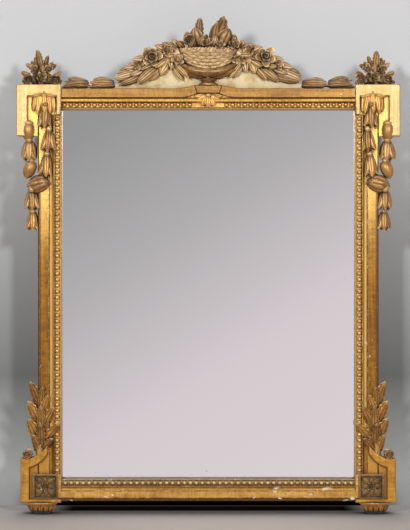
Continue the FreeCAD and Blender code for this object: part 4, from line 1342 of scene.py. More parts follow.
class Finishes:
    """All finishes of the mirror, each made once."""

    LEVEL = {"grain": (7.0, 120.0, 120.0), "rubs": (240.0, 45.0, 45.0), "flakes": (34.0, 80.0, 90.0)}
    CARVING = {"carved": True, "grime_and_shade": 0.97}
    KINDS = (
        Gilding("stile_gilding", srgb(156, 106, 28), srgb(88, 55, 12), chips=0.4, metal=0.75, shine=0.42,
                grime_and_shade=0.15, shade_halo=0.022, painted_lit=srgb(228, 190, 104)),
        Gilding("rail_gilding", srgb(228, 178, 92), srgb(158, 104, 40), chips=1.0, grime_and_shade=0.2, lower_edge_shade=0.95,
                **LEVEL),
        Gilding("head_gilding", srgb(228, 178, 92), srgb(158, 104, 40), chips=0.2, grime_and_shade=0.6, **LEVEL),
        Gilding("cornice_gilding", srgb(160, 118, 54), srgb(100, 66, 24), chips=0.7, metal=0.65, shine=0.4,
                grime_and_shade=0.5, **LEVEL),
        Gilding("border_gilding", srgb(200, 173, 114), srgb(164, 130, 70), rub=0.2, metal=0.45, shine=0.42,
                rim=0.6),
        Gilding("base_gilding", srgb(218, 164, 68), srgb(156, 100, 32), chips=0.4, grime_and_shade=0.45, shade_halo=0.016,
                rim=0.5),
        Gilding("bead_gilding", srgb(234, 190, 106), srgb(184, 132, 60), chips=0.3, metal=0.5, shine=0.4,
                grime_and_shade=0.42),
        Gilding("sill_gilding", srgb(230, 192, 128), srgb(156, 108, 58), chips=0.6, metal=0.4, shine=0.42,
                grime_and_shade=0.85),
        Gilding("carved_gilding", srgb(230, 188, 124), srgb(136, 98, 58), rub=0.3, metal=0.35, shine=0.42,
                dust_and_top_light=0.4, varied=0.5, **CARVING),
        Gilding("bunch_gilding", srgb(190, 146, 88), srgb(94, 62, 32), rub=0.3, metal=0.35, shine=0.42,
                dust_and_top_light=0.3, varied=0.5, **CARVING),
        Gilding("husk_gilding", srgb(206, 156, 84), srgb(118, 80, 38), rub=0.4, metal=0.45, shine=0.4,
                dust_and_top_light=0.3, veins=0.8, varied=0.35, **CARVING),
        Gilding("drape_gilding", srgb(226, 174, 92), srgb(150, 102, 46), rub=0.35, metal=0.5, shine=0.4,
                dust_and_top_light=0.2, veins=0.6, **CARVING),
        Gilding("warm_carved_gilding", srgb(200, 144, 66), srgb(100, 62, 24), rub=0.45, metal=0.55,
                shine=0.36, dust_and_top_light=0.2, **CARVING),
        Gilding("bowl_gilding", srgb(132, 86, 30), srgb(76, 44, 14), rub=0.45, metal=0.6, shine=0.36,
                veins=0.4, **CARVING),
        Gilding("cradle_gilding", srgb(168, 116, 48), srgb(92, 54, 18), rub=0.4, metal=0.55, shine=0.38,
                dust_and_top_light=0.3, veins=0.5, **CARVING),
        Gilding("dark_gilding", srgb(142, 106, 50), srgb(64, 44, 20), rub=0.3, metal=0.45, shine=0.4,
                dust_and_top_light=0.15, veins=0.6, **CARVING),
        Gilding("wicker_gilding", srgb(220, 178, 128), srgb(160, 120, 80), rub=-0.6, metal=0.25, shine=0.45,
                dust_and_top_light=0.4, **CARVING),
        IvoryPaint(),
        BareWood("board_wood", 0),
        BareWood("batten_wood", 2),
        BareWood("peg_wood", 1, pale=srgb(138, 98, 58)),
        MirrorPlate(),
        PlainMetal("silvering", srgb(150, 150, 150), srgb(112, 74, 56), 0.6, 0.4),
        PlainMetal("wrought_iron", srgb(70, 66, 62), srgb(94, 58, 36), 0.85, 0.42),
    )

    def __init__(self) -> None:
        """Makes the materials."""
        self.made = {kind.name: kind.make() for kind in self.KINDS}

    def dress(self, piece: Piece, finish: str) -> None:
        """Gives a whole piece one finish."""
        piece.data.materials.clear()
        piece.data.materials.append(self.made[finish])


# Sub-assemblies


@dataclass
class Carving:
    """What every carved sub-assembly has at hand."""

    carver: Carver
    finishes: Finishes

    def start(self, name: str, seed: int) -> Cluster:
        """Starts one carved piece."""
        return Cluster(self.carver, name, seed)

    def fix(self, piece: Piece, finish: str, *nodes: str, slot: str = "carved_gilding") -> None:
        """Dresses a carved piece, fixes it to the frame and lets it stand for its solids.

        Args:
            piece: The piece.
            finish: Name of its finish.
            *nodes: The solids that it stands for.
            slot: Not used.
        """
        self.finishes.dress(piece, finish)
        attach(piece, "frame")
        if nodes:
            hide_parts(*nodes)
        stood_for = ", ".join(nodes) or "nothing"
        LOG.info("%s: %d faces, stands for %s", piece.name, len(piece.data.polygons), stood_for)


@dataclass
class Crest(Carving):
    """The basket of flowers, the garlands and the leaf bundles over the top rail, in millimetres."""

    panel_front: float = 38.0
    rail_high: float = 1021.0
    basket_low: float = 1065.0
    basket_high: float = 1112.0
    flower_foot: float = 1121.0
    basket_half: float = 70.0
    basket_relief: float = 43.0
    basket_sag: float = 28.0
    basket_sunk: float = 6.0
    strands: int = 6
    stakes: int = 13
    strand_thick: float = 4.6
    rope_thick: float = 3.2
    rope_swing: float = 2.2
    rope_steps: int = 60
    crescent_rise: float = 36.0
    crescent_tip: float = 1.6
    crescent_steps: int = 16
    clasp_high: float = 1007.0

    # The cradle's foot: radius and height of each point.
    FOOT = ((0, 1029), (22, 1029), (22.5, 1031), (21.5, 1034), (18, 1035.5), (15.5, 1037.5), (15.5, 1039.5),
            (19, 1041.5), (19.5, 1044), (17, 1046.5), (0, 1049))
    # The cradle's crescents: lowest height, half width, thickness and relief.
    CRESCENTS = ((1060.0, 84.0, 12.0, 20.0), (1049.0, 92.0, 3.6, 9.0))
    # The cradle's leaves on the right: root x and height, tip x and height, width, relief and tilt.
    CRADLE = ((8.0, 1049.0, 66.0, 1068.0, 15.0, 18.0, 2.0), (24.0, 1044.0, 90.0, 1090.0, 13.0, 5.0, 4.0))
    # The leaves in the basket: root x and height, tip x and height, width, relief and roll.
    BOUQUET = (("acanthus", -24, 6, -20, 69, 30, 8, 8), ("laurel", -28, 0, -34, 48, 36, 17, -14),
               ("acanthus", 6, 4, 41, 69, 48, 12, -16), ("sepal", 14, 4, 20, 58, 30, 20, 12),
               ("laurel", 30, -4, 50, 44, 44, 22, 18), ("laurel", -42, 2, -52, 38, 26, 10, -20),
               ("sepal", -4, 0, -6, 30, 22, 12, 0), ("laurel", 54, -2, 66, 30, 26, 12, 24),
               ("laurel", -58, -6, -76, 14, 22, 12, -20), ("laurel", 60, -8, 78, 14, 22, 12, 20),
               ("sepal", -16, -4, -8, 26, 24, 28, 10), ("laurel", 8, -4, 18, 26, 22, 30, -10),
               ("laurel", -46, -6, -34, 16, 20, 30, 0))
    # The flowers in the basket: x and height, radius, relief and rings of petals.
    BLOSSOMS = ((-48, 14, 15, 26, 3), (-4, 6, 12, 34, 2), (62, 4, 13, 26, 2), (28, 2, 11, 36, 2))
    # The leaves of the left garland, with the same columns.
    GARLAND = (("bud", -150, 1056, -216, 1032, 25, 0, 0), ("bud", -166, 1062, -226, 1042, 27, 2, 0),
               ("laurel", -170, 1074, -224, 1058, 27, 5, 20), ("laurel", -152, 1084, -206, 1074, 26, 6, 26),
               ("sepal", -146, 1072, -190, 1056, 26, 11, 0), ("bud", -124, 1074, -172, 1034, 28, 6, 0),
               ("laurel", -138, 1096, -182, 1090, 25, 7, 26), ("laurel", -108, 1078, -140, 1040, 25, 6, -22),
               ("laurel", -110, 1104, -154, 1112, 25, 5, 28), ("laurel", -92, 1092, -116, 1052, 25, 6, -22),
               ("sepal", -102, 1092, -132, 1072, 24, 13, 0), ("laurel", -84, 1110, -130, 1122, 26, 6, 28),
               ("laurel", -74, 1098, -92, 1062, 25, 8, -20), ("laurel", -64, 1112, -108, 1129, 26, 8, 28),
               ("sepal", -72, 1104, -106, 1102, 25, 14, 10), ("laurel", -58, 1104, -74, 1070, 22, 13, -20),
               ("laurel", -104, 1112, -136, 1104, 24, 9, 10), ("sepal", -118, 1088, -160, 1070, 24, 12, 0),
               ("laurel", -70, 1118, -90, 1136, 22, 6, 10), ("laurel", -84, 1104, -122, 1086, 24, 12, -10),
               ("laurel", -82, 1086, -51, 1048, 17, 17, 0), ("laurel", -88, 1080, -62, 1043, 13, 9, 0))
    # The small blossoms of the left garland: x, height and radius.
    SPRIGS = ((-74.0, 1090.0, 14.0), (-98.0, 1112.0, 12.0), (-168.0, 1078.0, 12.0))
    BUNDLES = (-226.0, -288.0)  # where the two leaf bundles on the rail start
    # The leaves of a bundle, from its start and the rail: root and tip, width, depth and roll.
    BUNDLE = (((2, 15), (-60, 12), 23.0, 36.0, 0.0), ((0, 20), (-52, 26), 20.0, 31.0, 24.0),
              ((0, 9), (-54, 5), 20.0, 33.0, -24.0), ((-4, 17), (-60, 20), 18.0, 26.0, 40.0),
              ((9, 6), (-46, 5), 15.0, 35.0, -30.0), ((-16, 6), (-66, 7), 14.0, 37.0, -16.0))
    # The leaves of the clasp: heading, length and depth.
    CLASP = ((190, 36, 51), (350, 36, 51), (213, 35, 52), (327, 35, 52), (240, 32, 54), (300, 32, 54),
             (270, 32, 56))

    def build(self) -> None:
        """Builds and dresses every piece of the crest."""
        self.fix(self.basket(), "wicker_gilding", "basket")
        self.fix(self.cradle(), "cradle_gilding", "basket_cradle")
        self.fix(self.flowers(), "bunch_gilding", "basket_flowers")
        for side in Side:
            self.fix(self.garland(side), "carved_gilding", side.named("garland"))
            self.fix(self.rail_spray(side), "bunch_gilding", side.named("rail_spray"))
        self.fix(self.clasp(), "drape_gilding", "rail_clasp")

    def strand_point(self, share: float, level: float, swell: float) -> Place:
        """Gives a point of the basket's wall.

        Args:
            share: Place across, from -1 to 1.
            level: Place up the wall, from 0 to 1.
            swell: How far the point stands off the wall.

        Returns:
            The point as x, depth and height.
        """
        x = share * self.basket_half * (0.9 + 0.1 * level)
        low = self.basket_low + self.basket_sag * share * share
        z = low + level * (self.basket_high - low)
        round_off = math.sqrt(max(0.0, 1.0 - 0.96 * share * share))
        lean = 0.72 + 0.28 * math.sin(0.5 * math.pi * (0.25 + 0.75 * level))
        return (x, self.panel_front - self.basket_sunk + self.basket_relief * round_off * lean + swell, z)

    def basket(self) -> Piece:
        """Weaves the basket: wavy strands over a core, with a roped rim.

        Returns:
            The basket.
        """
        cluster = self.start("woven_basket", 11)
        cluster.take(Bench.lump("basket_core", (0.0, 34.0, 1091.0), (62.0, 36.0, 25.0), self.panel_front))
        crossings = 2 * self.stakes
        for strand in range(self.strands):
            level = (strand + 0.5) / self.strands
            points = []
            for knot in range(crossings + 1):
                wave = math.cos(math.pi * (knot * 0.5 + strand))
                points.append(self.strand_point(2.0 * knot / crossings - 1.0, level, 1.5 * wave))
            cluster.take(Bench.bar("strand", points, [self.strand_thick] * len(points), 1))
        for phase in (0.0, math.pi):
            points = []
            for knot in range(self.rope_steps + 1):
                turn = phase + knot * 0.3 * math.pi
                share = 2.0 * knot / self.rope_steps - 1.0
                x, depth, z = self.strand_point(share, 1.0, self.rope_swing * math.cos(turn))
                points.append((x, depth, z + 1.0 + self.rope_swing * math.sin(turn)))
            cluster.take(Bench.bar("rim_rope", points, [self.rope_thick] * len(points), 1))
        return cluster.join(rough=0.5)

    def cradle(self) -> Piece:
        """Carves the crescent under the basket, its leaves and its turned foot.

        Returns:
            The cradle.
        """
        cluster = self.start("basket_cradle_carving", 12)
        front = self.panel_front
        stem = Bench.turned("cradle_foot", self.FOOT, 0.0, front + 3.0)
        Bench.flatten_back(stem, front)
        cluster.take(stem)
        for low, reach, thick, out in self.CRESCENTS:
            points, radii = [], []
            for knot in range(self.crescent_steps + 1):
                share = 2.0 * knot / self.crescent_steps - 1.0
                rise = self.crescent_rise * abs(share) ** 2.5
                points.append((reach * share, front + 4.0 + out * (1.0 - share * share), low + rise))
                radii.append(self.crescent_tip + thick * (1.0 - abs(share) ** 1.6))
            cluster.take(Bench.bar("crescent", points, radii, 3))
        for way in (-1.0, 1.0):
            for x, z, tip_x, tip_z, width, out, tilt in self.CRADLE:
                cluster.leaf("laurel", (way * x, z), (way * tip_x, tip_z), width, front + out, tilt)
        cluster.leaf("acanthus", (0.0, 1072.0), (0.0, 1044.0), 26.0, front + 22.0, 0.0)
        return cluster.join()

    def flowers(self) -> Piece:
        """Fills the basket with broad upright leaves and a few blossoms.

        Returns:
            The bouquet.
        """
        cluster = self.start("basket_bouquet", 13)
        z, ground = self.flower_foot, self.panel_front
        cluster.take(Bench.lump("bouquet_core", (0.0, ground - 6.0, z), (50.0, 14.0, 12.0), ground - 10.0))
        for blade, x, up, tip_x, tip_up, width, out, roll in self.BOUQUET:
            turn = roll + cluster.uneven(8.0)
            cluster.leaf(blade, (x, z + up), (tip_x, z + tip_up), width, ground + out, 2.0, turn, 1.3)
        for x, up, radius, out, whorls in self.BLOSSOMS:
            cluster.flower((x, z + up), radius, ground + out, whorls, 30.0)
        return cluster.join(rough=0.7)

    def spine(self, share: float) -> Point:
        """Gives a point of the left garland's middle line, from the basket outward."""
        return (-68.0 - 190.0 * share, self.rail_high + 12.0 + 73.0 * (1.0 - share) ** 1.25)

    def garland(self, side: Side) -> Piece:
        """Carves one garland: plump leaves and buds like scales down its line, a rose and a few blossoms.

        Args:
            side: The side it is for.

        Returns:
            The garland.
        """
        cluster = self.start(side.named("garland_carving"), side.seed(21))
        ground = self.panel_front
        line, radii = [], []
        for knot in range(9):
            x, z = self.spine(0.1 * knot)
            line.append((x, ground - 2.0, z))
            radii.append(19.0 - 1.4 * knot)
        core = Bench.bar("garland_core", line, radii)
        Bench.flatten_back(core, ground - 12.0)
        cluster.take(core)
        for blade, x, z, tip_x, tip_z, width, out, roll in self.GARLAND:
            root = (x + cluster.uneven(3.0), z + cluster.uneven(2.0))
            tip = (tip_x + cluster.uneven(4.0), max(tip_z + cluster.uneven(5.0), self.rail_high + 5.0))
            wide = width + cluster.uneven(3.0)
            cluster.leaf(blade, root, tip, wide, ground + out, 5.0 + cluster.uneven(4.0), roll, 1.1)
        cluster.flower((-136.0, 1096.0), 23.0, ground + 17.0, 3, 16.0)
        for x, z, radius in self.SPRIGS:
            cluster.flower((x, z), radius, ground + 18.0, 2, 30.0)
        return cluster.join(side, rough=0.6)

    def rail_spray(self, side: Side) -> Piece:
        """Carves the two plump leaf bundles that lie along the rail beyond the panel.

        Args:
            side: The side they are for.

        Returns:
            The bundles.
        """
        cluster = self.start(side.named("rail_bundles"), side.seed(31))
        z = self.rail_high
        for x in self.BUNDLES:
            cluster.take(Bench.lump("bundle_core", (x - 28.0, 28.0, z + 12.0), (24.0, 10.0, 11.0), 16.0))
            for root, tip, width, depth, roll in self.BUNDLE:
                start, end = (x + root[0], z + root[1]), (x + tip[0], z + tip[1])
                cluster.leaf("laurel", start, end, width, depth, 2.0, roll, 1.2)
        return cluster.join(side)

    def clasp(self) -> Piece:
        """Carves the shell of leaves below the keystone.

        Returns:
            The clasp.
        """
        cluster = self.start("clasp_leaves", 41)
        top = self.clasp_high
        cluster.take(Bench.lump("clasp_core", (0.0, 46.0, top - 7.0), (26.0, 8.0, 12.0), 44.0))
        for heading, reach, depth in self.CLASP:
            angle = math.radians(heading)
            tip = (reach * math.cos(angle), top + reach * math.sin(angle))
            cluster.leaf("laurel", (0.1 * tip[0], top), tip, 18.0, depth, -2.0, body=0.8)
        cluster.button((0.0, top - 3.0), 57.0, (0.13, 0.1, 0.1))
        return cluster.join()


@dataclass
class Ears(Carving):
    """The flower finials, drapery caps and husk garlands of the upper corners, in millimetres."""

    finial_x: float = -401.5
    ear_high: float = 1031.0
    ear_low: float = 907.0
    cap_x: float = -395.0
    cap_high: float = 1012.0
    inner_x: float = -385.0
    outer_x: float = -427.0
    swag: Point = (-409.0, 791.0)

    # The leaves of a finial, from its foot: root x and height, tip x and height, width and depth.
    FINIAL = ((-2, 38, -7, 86, 24, 22), (6, 36, 13, 74, 17, 18), (-8, 36, -19, 70, 17, 17),
              (-8, 34, -36, 54, 19, 24), (8, 34, 36, 52, 19, 24), (-4, 24, -24, 62, 17, 20),
              (4, 24, 25, 60, 17, 20), (-26, 20, -48, 32, 18, 24), (26, 20, 47, 32, 18, 24),
              (-30, 4, -49, 12, 16, 26), (30, 4, 48, 12, 16, 26), (0, 26, 0, 54, 17, 32),
              (-14, 2, -20, 26, 15, 33), (15, 2, 19, 26, 15, 33))
    # Its flowers: x and height, radius and depth.
    BLOSSOMS = ((-32, 13, 14, 29), (0, 15, 15, 32), (32, 13, 14, 29), (-16, 36, 12, 29), (16, 38, 12, 29))
    # The folds of the drapery: root x, tip x, drop, width and depth.
    FOLDS = ((-18, -25, 46, 19, 52), (20, 27, 46, 19, 52), (-9, -15, 52, 21, 54), (11, 17, 52, 21, 54),
             (1, 1, 50, 22, 56))
    # The husks down the stile, from its line: x, height and heading.
    HUSKS = ((-6.0, 982.0, 270.0), (3.0, 924.0, 268.0), (-2.0, 864.0, 266.0))
    # The leaves over the knot: how far they lie from its middle, depth and roll.
    KNOT = ((-16.0, 52.0, -44.0), (16.0, 52.0, 44.0), (-8.0, 59.0, -22.0), (8.0, 59.0, 22.0),
            (0.0, 62.0, 0.0))

    def build(self) -> None:
        """Builds and dresses the carvings of both upper corners."""
        for side in Side:
            self.fix(self.finial(side), "bunch_gilding", side.named("finial"))
            self.fix(self.drop_cap(side), "drape_gilding", side.named("drop_cap"))
            self.fix(self.husks(side), "husk_gilding", side.named("husk_garland"))

    def finial(self, side: Side) -> Piece:
        """Carves one bunch of flowers and leaves.

        Args:
            side: The side it is for.

        Returns:
            The finial.
        """
        cluster = self.start(side.named("finial_carving"), side.seed(51))
        x, z = self.finial_x, self.ear_high
        cluster.take(Bench.lump("finial_core", (x, 14.0, z + 14.0), (28.0, 12.0, 22.0), 6.0))
        for root_x, root_z, tip_x, tip_z, width, depth in self.FINIAL:
            tip = (x + tip_x + cluster.uneven(2.0), z + tip_z - abs(cluster.uneven(3.0)))
            root = (x + root_x, z + root_z)
            cluster.leaf("acanthus", root, tip, width, depth, 2.0, cluster.uneven(25.0), 0.7)
        for off_x, up, radius, depth in self.BLOSSOMS:
            cluster.flower((x + off_x, z + up), radius, depth, 2, 30.0)
        return cluster.join(side, rough=0.6)

    def drop_cap(self, side: Side) -> Piece:
        """Carves the draped leaf that the husks drop from.

        Args:
            side: The side it is for.

        Returns:
            The drapery.
        """
        cluster = self.start(side.named("drop_leaf"), side.seed(61))
        x, top = self.cap_x, self.cap_high
        cluster.take(Bench.lump("drop_core", (x, 48.0, top - 20.0), (24.0, 7.0, 18.0), 48.0))
        for root_x, tip_x, drop, width, depth in self.FOLDS:
            cluster.leaf("sepal", (x + root_x, top + 3.0), (x + tip_x, top - drop), width, depth, -3.0)
        for way in (-1.0, 1.0):
            root, tip = (x + way * 2.0, top - 4.0), (x + way * 31.0, top - 10.0)
            cluster.leaf("laurel", root, tip, 15.0, 56.0, -4.0, body=0.8)
        return cluster.join(side)

    def husks(self, side: Side) -> Piece:
        """Carves one garland of husks and buds, down the stile and over its outer edge.

        Args:
            side: The side it is for.

        Returns:
            The garland.
        """
        cluster = self.start(side.named("husk_carving"), side.seed(71))
        outer, low = self.outer_x, self.ear_low
        for off_x, top, heading in self.HUSKS:
            cluster.husk((self.inner_x + off_x, top), heading, 58.0, 40.0, 51.0)
        root, tip = (outer - 5.0, low + 34.0), (outer - 4.0, low - 15.0)
        cluster.leaf("acorn", root, tip, 33.0, 42.0, 0.0, body=1.15)
        cluster.button((outer - 5.0, low + 31.0), 46.0, (0.26, 0.15, 0.3))
        cluster.husk((outer - 3.0, low - 10.0), 270.0, 52.0, 46.0, 44.0)
        root, tip = (outer + 6.0, low - 60.0), (outer - 10.0, low - 104.0)
        cluster.leaf("acorn", root, tip, 32.0, 43.0, 0.0, body=1.1)
        x, z = self.swag
        cluster.leaf("bud", (x + 28.0, z + 9.0), (x - 28.0, z - 9.0), 50.0, 44.0, 0.0, body=0.85)
        for shift, depth, roll in self.KNOT:
            root = (x + 26.0 - 0.3 * shift, z + 9.0 + 0.4 * shift)
            tip = (x - 28.0 + 0.3 * abs(shift), z - 9.0 + 0.8 * shift)
            cluster.leaf("laurel", root, tip, 17.0, depth, -8.0, roll)
        cluster.husk((outer + 3.0, low - 128.0), 272.0, 52.0, 42.0, 44.0)
        cluster.husk((outer + 5.0, low - 180.0), 270.0, 48.0, 38.0, 44.0)
        for drop in (60.0, 128.0):
            cluster.button((outer + 3.0, low - drop), 52.0, ball(0.15))
        return cluster.join(side)


@dataclass
class Base(Carving):
    """The leaf sprays, rosette tiles, scrolls and feet of the lower corners, in millimetres."""

    spray_x: float = -409.0
    spray_z: float = 169.0
    tile_low: float = 36.0
    tile_size: float = 60.0
    tile_thick: float = 7.0
    tile_front: float = 55.0
    tile_x: float = -391.0
    foot_x: float = -401.5
    foot_depth: float = 28.0
    foot_half: float = 38.0
    foot_leaves: int = 14
    foot_leaf: Place = (0.34, 0.27, 0.5)
    foot_leaf_high: float = 25.5
    foot_leaf_run: Point = (22.0, 15.0)
    foot_clear: float = 8.0
    scroll: Point = (-434.0, 143.9)
    scroll_depth: Point = (58.6, 59.8)
    scroll_angle: Point = (250.0, -390.0)
    scroll_reach: Point = (9.6, 1.6)
    scroll_thick: Point = (1.9, 1.3)
    scroll_steps: int = 28

    # The stem of a spray: x, depth and height of each point, and the radii there.
    STEM = ((4, 44.0, -26), (7, 46.0, 20), (8, 46.0, 62), (8, 46.0, 100))
    STEM_RADII = (10.0, 9.0, 7.0, 4.0)
    # The leaves of a spray: root and tip, width, depth, body and roll.
    SPRAY = (((9, 74), (-16, 149), 34, 42, 0.7, -14), ((9, 76), (12, 138), 26, 48, 0.5, 4),
             ((9, 62), (24, 118), 28, 47, 0.7, 14), ((9, 34), (-19, 104), 36, 43, 0.7, -14),
             ((8, 30), (36, 90), 32, 47, 0.7, 16), ((9, 24), (8, 92), 26, 52, 0.5, 0),
             ((8, -8), (-18, 62), 38, 44, 0.7, -14), ((6, -14), (50, 54), 34, 47, 0.7, 16),
             ((7, -14), (6, 50), 28, 53, 0.5, 0), ((5, -26), (35, 15), 28, 48, 0.7, 14),
             ((4, -26), (-9, 24), 28, 49, 0.7, -14))
    # The leaves of a rosette, towards the sides and the corners: length, width and depth.
    ROSETTE = ((22.0, 15.0, 52.0), (32.0, 19.0, 51.0))
    # The bun foot: radius and height of each point.
    BUN = ((0, 0), (18, 0), (19, 1), (22, 5), (26.5, 10.5), (30.5, 16), (34, 21), (37.5, 24), (38.5, 26),
           (38, 28), (0, 28))

    def build(self) -> None:
        """Builds and dresses the carvings of both lower corners."""
        for side in Side:
            self.fix(self.spray(side), "warm_carved_gilding", side.named("leaf_spray"))
            self.fix(self.tile(side), "dark_gilding", side.named("patera"))
            self.fix(self.foot(side), "warm_carved_gilding", side.named("foot"))
            self.fix(self.volute(side), "bowl_gilding", slot="burnished_gilding")

    def spray(self, side: Side) -> Piece:
        """Carves the tall spray of leaves above the base.

        Args:
            side: The side it is for.

        Returns:
            The spray.
        """
        cluster = self.start(side.named("spray_carving"), side.seed(81))
        x, z = self.spray_x, self.spray_z
        stem = [(x + off_x, depth, z + up) for off_x, depth, up in self.STEM]
        cluster.take(Bench.bar("spray_stem", stem, self.STEM_RADII))
        for root, tip, width, depth, body, roll in self.SPRAY:
            start, end = (x + root[0], z + root[1]), (x + tip[0], z + tip[1])
            cluster.leaf("acanthus", start, end, width, depth, 3.0, roll, body)
        return cluster.join(side, rough=0.6)

    def tile(self, side: Side) -> Piece:
        """Carves the square tile with its rosette.

        Args:
            side: The side it is for.

        Returns:
            The tile.
        """
        cluster = self.start(side.named("rosette_tile"), side.seed(91))
        x, z = self.tile_x, self.tile_low + self.tile_size / 2.0
        Bench.clear()
        bpy.ops.mesh.primitive_cube_add(size=1.0)
        slab = Bench.added("slab")
        with Bench.editing(slab):
            Bench.everything()
            size = (self.tile_size, self.tile_thick, self.tile_size)
            bpy.ops.transform.resize(value=size, center_override=(0, 0, 0))
            bpy.ops.transform.translate(value=(x, BACK - self.tile_front + self.tile_thick / 2.0, z))
            bpy.ops.mesh.bevel(offset=0.8, segments=2, affect="EDGES")
            Bench.pick_front(slab, self.tile_front)
            bpy.ops.mesh.inset(thickness=4.2, depth=0.0)
            bpy.ops.mesh.inset(thickness=1.6, depth=-5.0)
        cluster.take(slab)
        for turn in range(8):
            reach, width, depth = self.ROSETTE[turn % 2]
            angle = math.radians(45.0 * turn)
            tip = (x + reach * math.cos(angle), z + reach * math.sin(angle))
            cluster.leaf("laurel", (x, z), tip, width, depth, 0.0, body=0.8)
        cluster.flower((x, z), 9.5, 54.0, 2)
        return cluster.join(side, rough=0.25)

    def foot(self, side: Side) -> Piece:
        """Turns the bun foot, flat at the back, and carves leaves round it.

        Args:
            side: The side it is for.

        Returns:
            The foot.
        """
        cluster = self.start(side.named("foot_carving"), side.seed(95))
        bun = Bench.turned("bun", self.BUN, self.foot_x, self.foot_depth, 64)
        Bench.flatten_back(bun, 0.0)
        cluster.take(bun)
        for leaf in range(self.foot_leaves):
            turn = math.tau * (leaf + 0.5) / self.foot_leaves
            outward = Vector((math.cos(turn), math.sin(turn), 0.0))
            spot = Vector((self.foot_x, BACK - self.foot_depth, 0.0)) + outward * self.foot_half
            if spot.y > BACK - self.foot_clear:
                continue
            across = Vector((-math.sin(turn), math.cos(turn), 0.0))
            drop, draw = self.foot_leaf_run
            down = (Vector((0.0, 0.0, -drop)) - outward * draw).normalized()
            face = across.cross(down)
            if face.dot(outward) < 0.0:
                across, face = -across, -face
            place = (spot.x, BACK - spot.y, self.foot_leaf_high)
            cluster.add("laurel", frame_of((across, down, face), place, self.foot_leaf))
        return cluster.join(side, rough=0.2)

    def volute(self, side: Side) -> Piece:
        """Carves the spiral on the rolled end of the base's border.

        Args:
            side: The side it is for.

        Returns:
            The volute.
        """
        cluster = self.start(side.named("volute"), 98)
        x, z = self.scroll
        points, radii = [], []
        for knot in range(self.scroll_steps + 1):
            share = knot / self.scroll_steps
            angle = math.radians(between(self.scroll_angle, share))
            reach = between(self.scroll_reach, share)
            depth = between(self.scroll_depth, share)
            points.append((x + reach * math.cos(angle), depth, z + reach * math.sin(angle)))
            radii.append(between(self.scroll_thick, share))
        cluster.take(Bench.bar("spiral", points, radii))
        cluster.button(self.scroll, self.scroll_depth[0], (0.05, 0.05, 0.06))
        return cluster.join(side, rough=0.1)


@dataclass
class Members:
    """The frame members, glass, boards and ironwork, which keep their solids and get their finishes."""

    finishes: Finishes

    # Each finish, its slot's name, and the solids that have it.
    SINGLE = (
        ("rail_gilding", "burnished_gilding", ("bottom_rail",)),
        ("head_gilding", "burnished_gilding", ("top_rail", "top_bead_strip")),
        ("cornice_gilding", "burnished_gilding", ("keystone",)),
        ("sill_gilding", "burnished_gilding", ("bottom_bead_strip",)),
        ("ivory_paint", "ivory_paint", ("crest_panel",)),
        ("batten_wood", "bare_wood", ("crest_battens",)),
        ("board_wood", "bare_wood", ("back_board_1", "back_board_2", "back_board_3", "back_board_4")),
        ("peg_wood", "bare_wood", ("tenon_pegs", "glass_blocks", "setting_blocks")),
        ("mirror_plate", "mirror_plate", ("mirror_glass",)),
        ("silvering", "silvering", ("silvering",)),
        ("wrought_iron", "wrought_iron", ("board_pins", "crest_screws", "hanger_screws")),
    )
    PAIRED = (
        ("stile_gilding", "burnished_gilding", ("stile", "ear_block", "base_block")),
        ("border_gilding", "burnished_gilding", ("ear_border",)),
        ("base_gilding", "burnished_gilding", ("base_border",)),
        ("cornice_gilding", "burnished_gilding", ("cornice",)),
        ("bead_gilding", "burnished_gilding", ("bead_strip",)),
        ("wrought_iron", "wrought_iron", ("hanger_plate", "hanging_ring")),
    )

    def dress(self) -> None:
        """Gives every solid that shows its finish."""
        for finish, slot, nodes in self.SINGLE:
            self.coat(finish, nodes)
        for side in Side:
            for finish, slot, nodes in self.PAIRED:
                self.coat(finish, [side.named(node) for node in nodes])

    def coat(self, finish: str, nodes: Iterable[str]) -> None:
        """Gives some solids one finish.

        Args:
            finish: Name of the finish.
            nodes: The solids.
        """
        for node in nodes:
            self.finishes.dress(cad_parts[node], finish)
            LOG.info("%s: %s", node, finish)


# Studio


@dataclass(frozen=True)
class Lamp:
    """One soft round lamp, in metres and watts."""

    place: Place
    aim: Place
    size: float
    power: float

    def hang(self) -> None:
        """Adds the lamp to the scene."""
        light = bpy.data.lights.new("softbox", "AREA")
        light.shape = "DISK"
        light.size = self.size
        light.energy = self.power
        lamp = bpy.data.objects.new("softbox", light)
        lamp.location = self.place
        lamp.rotation_euler = (Vector(self.aim) - Vector(self.place)).to_track_quat("-Z", "Y").to_euler()
        bpy.context.scene.collection.objects.link(lamp)


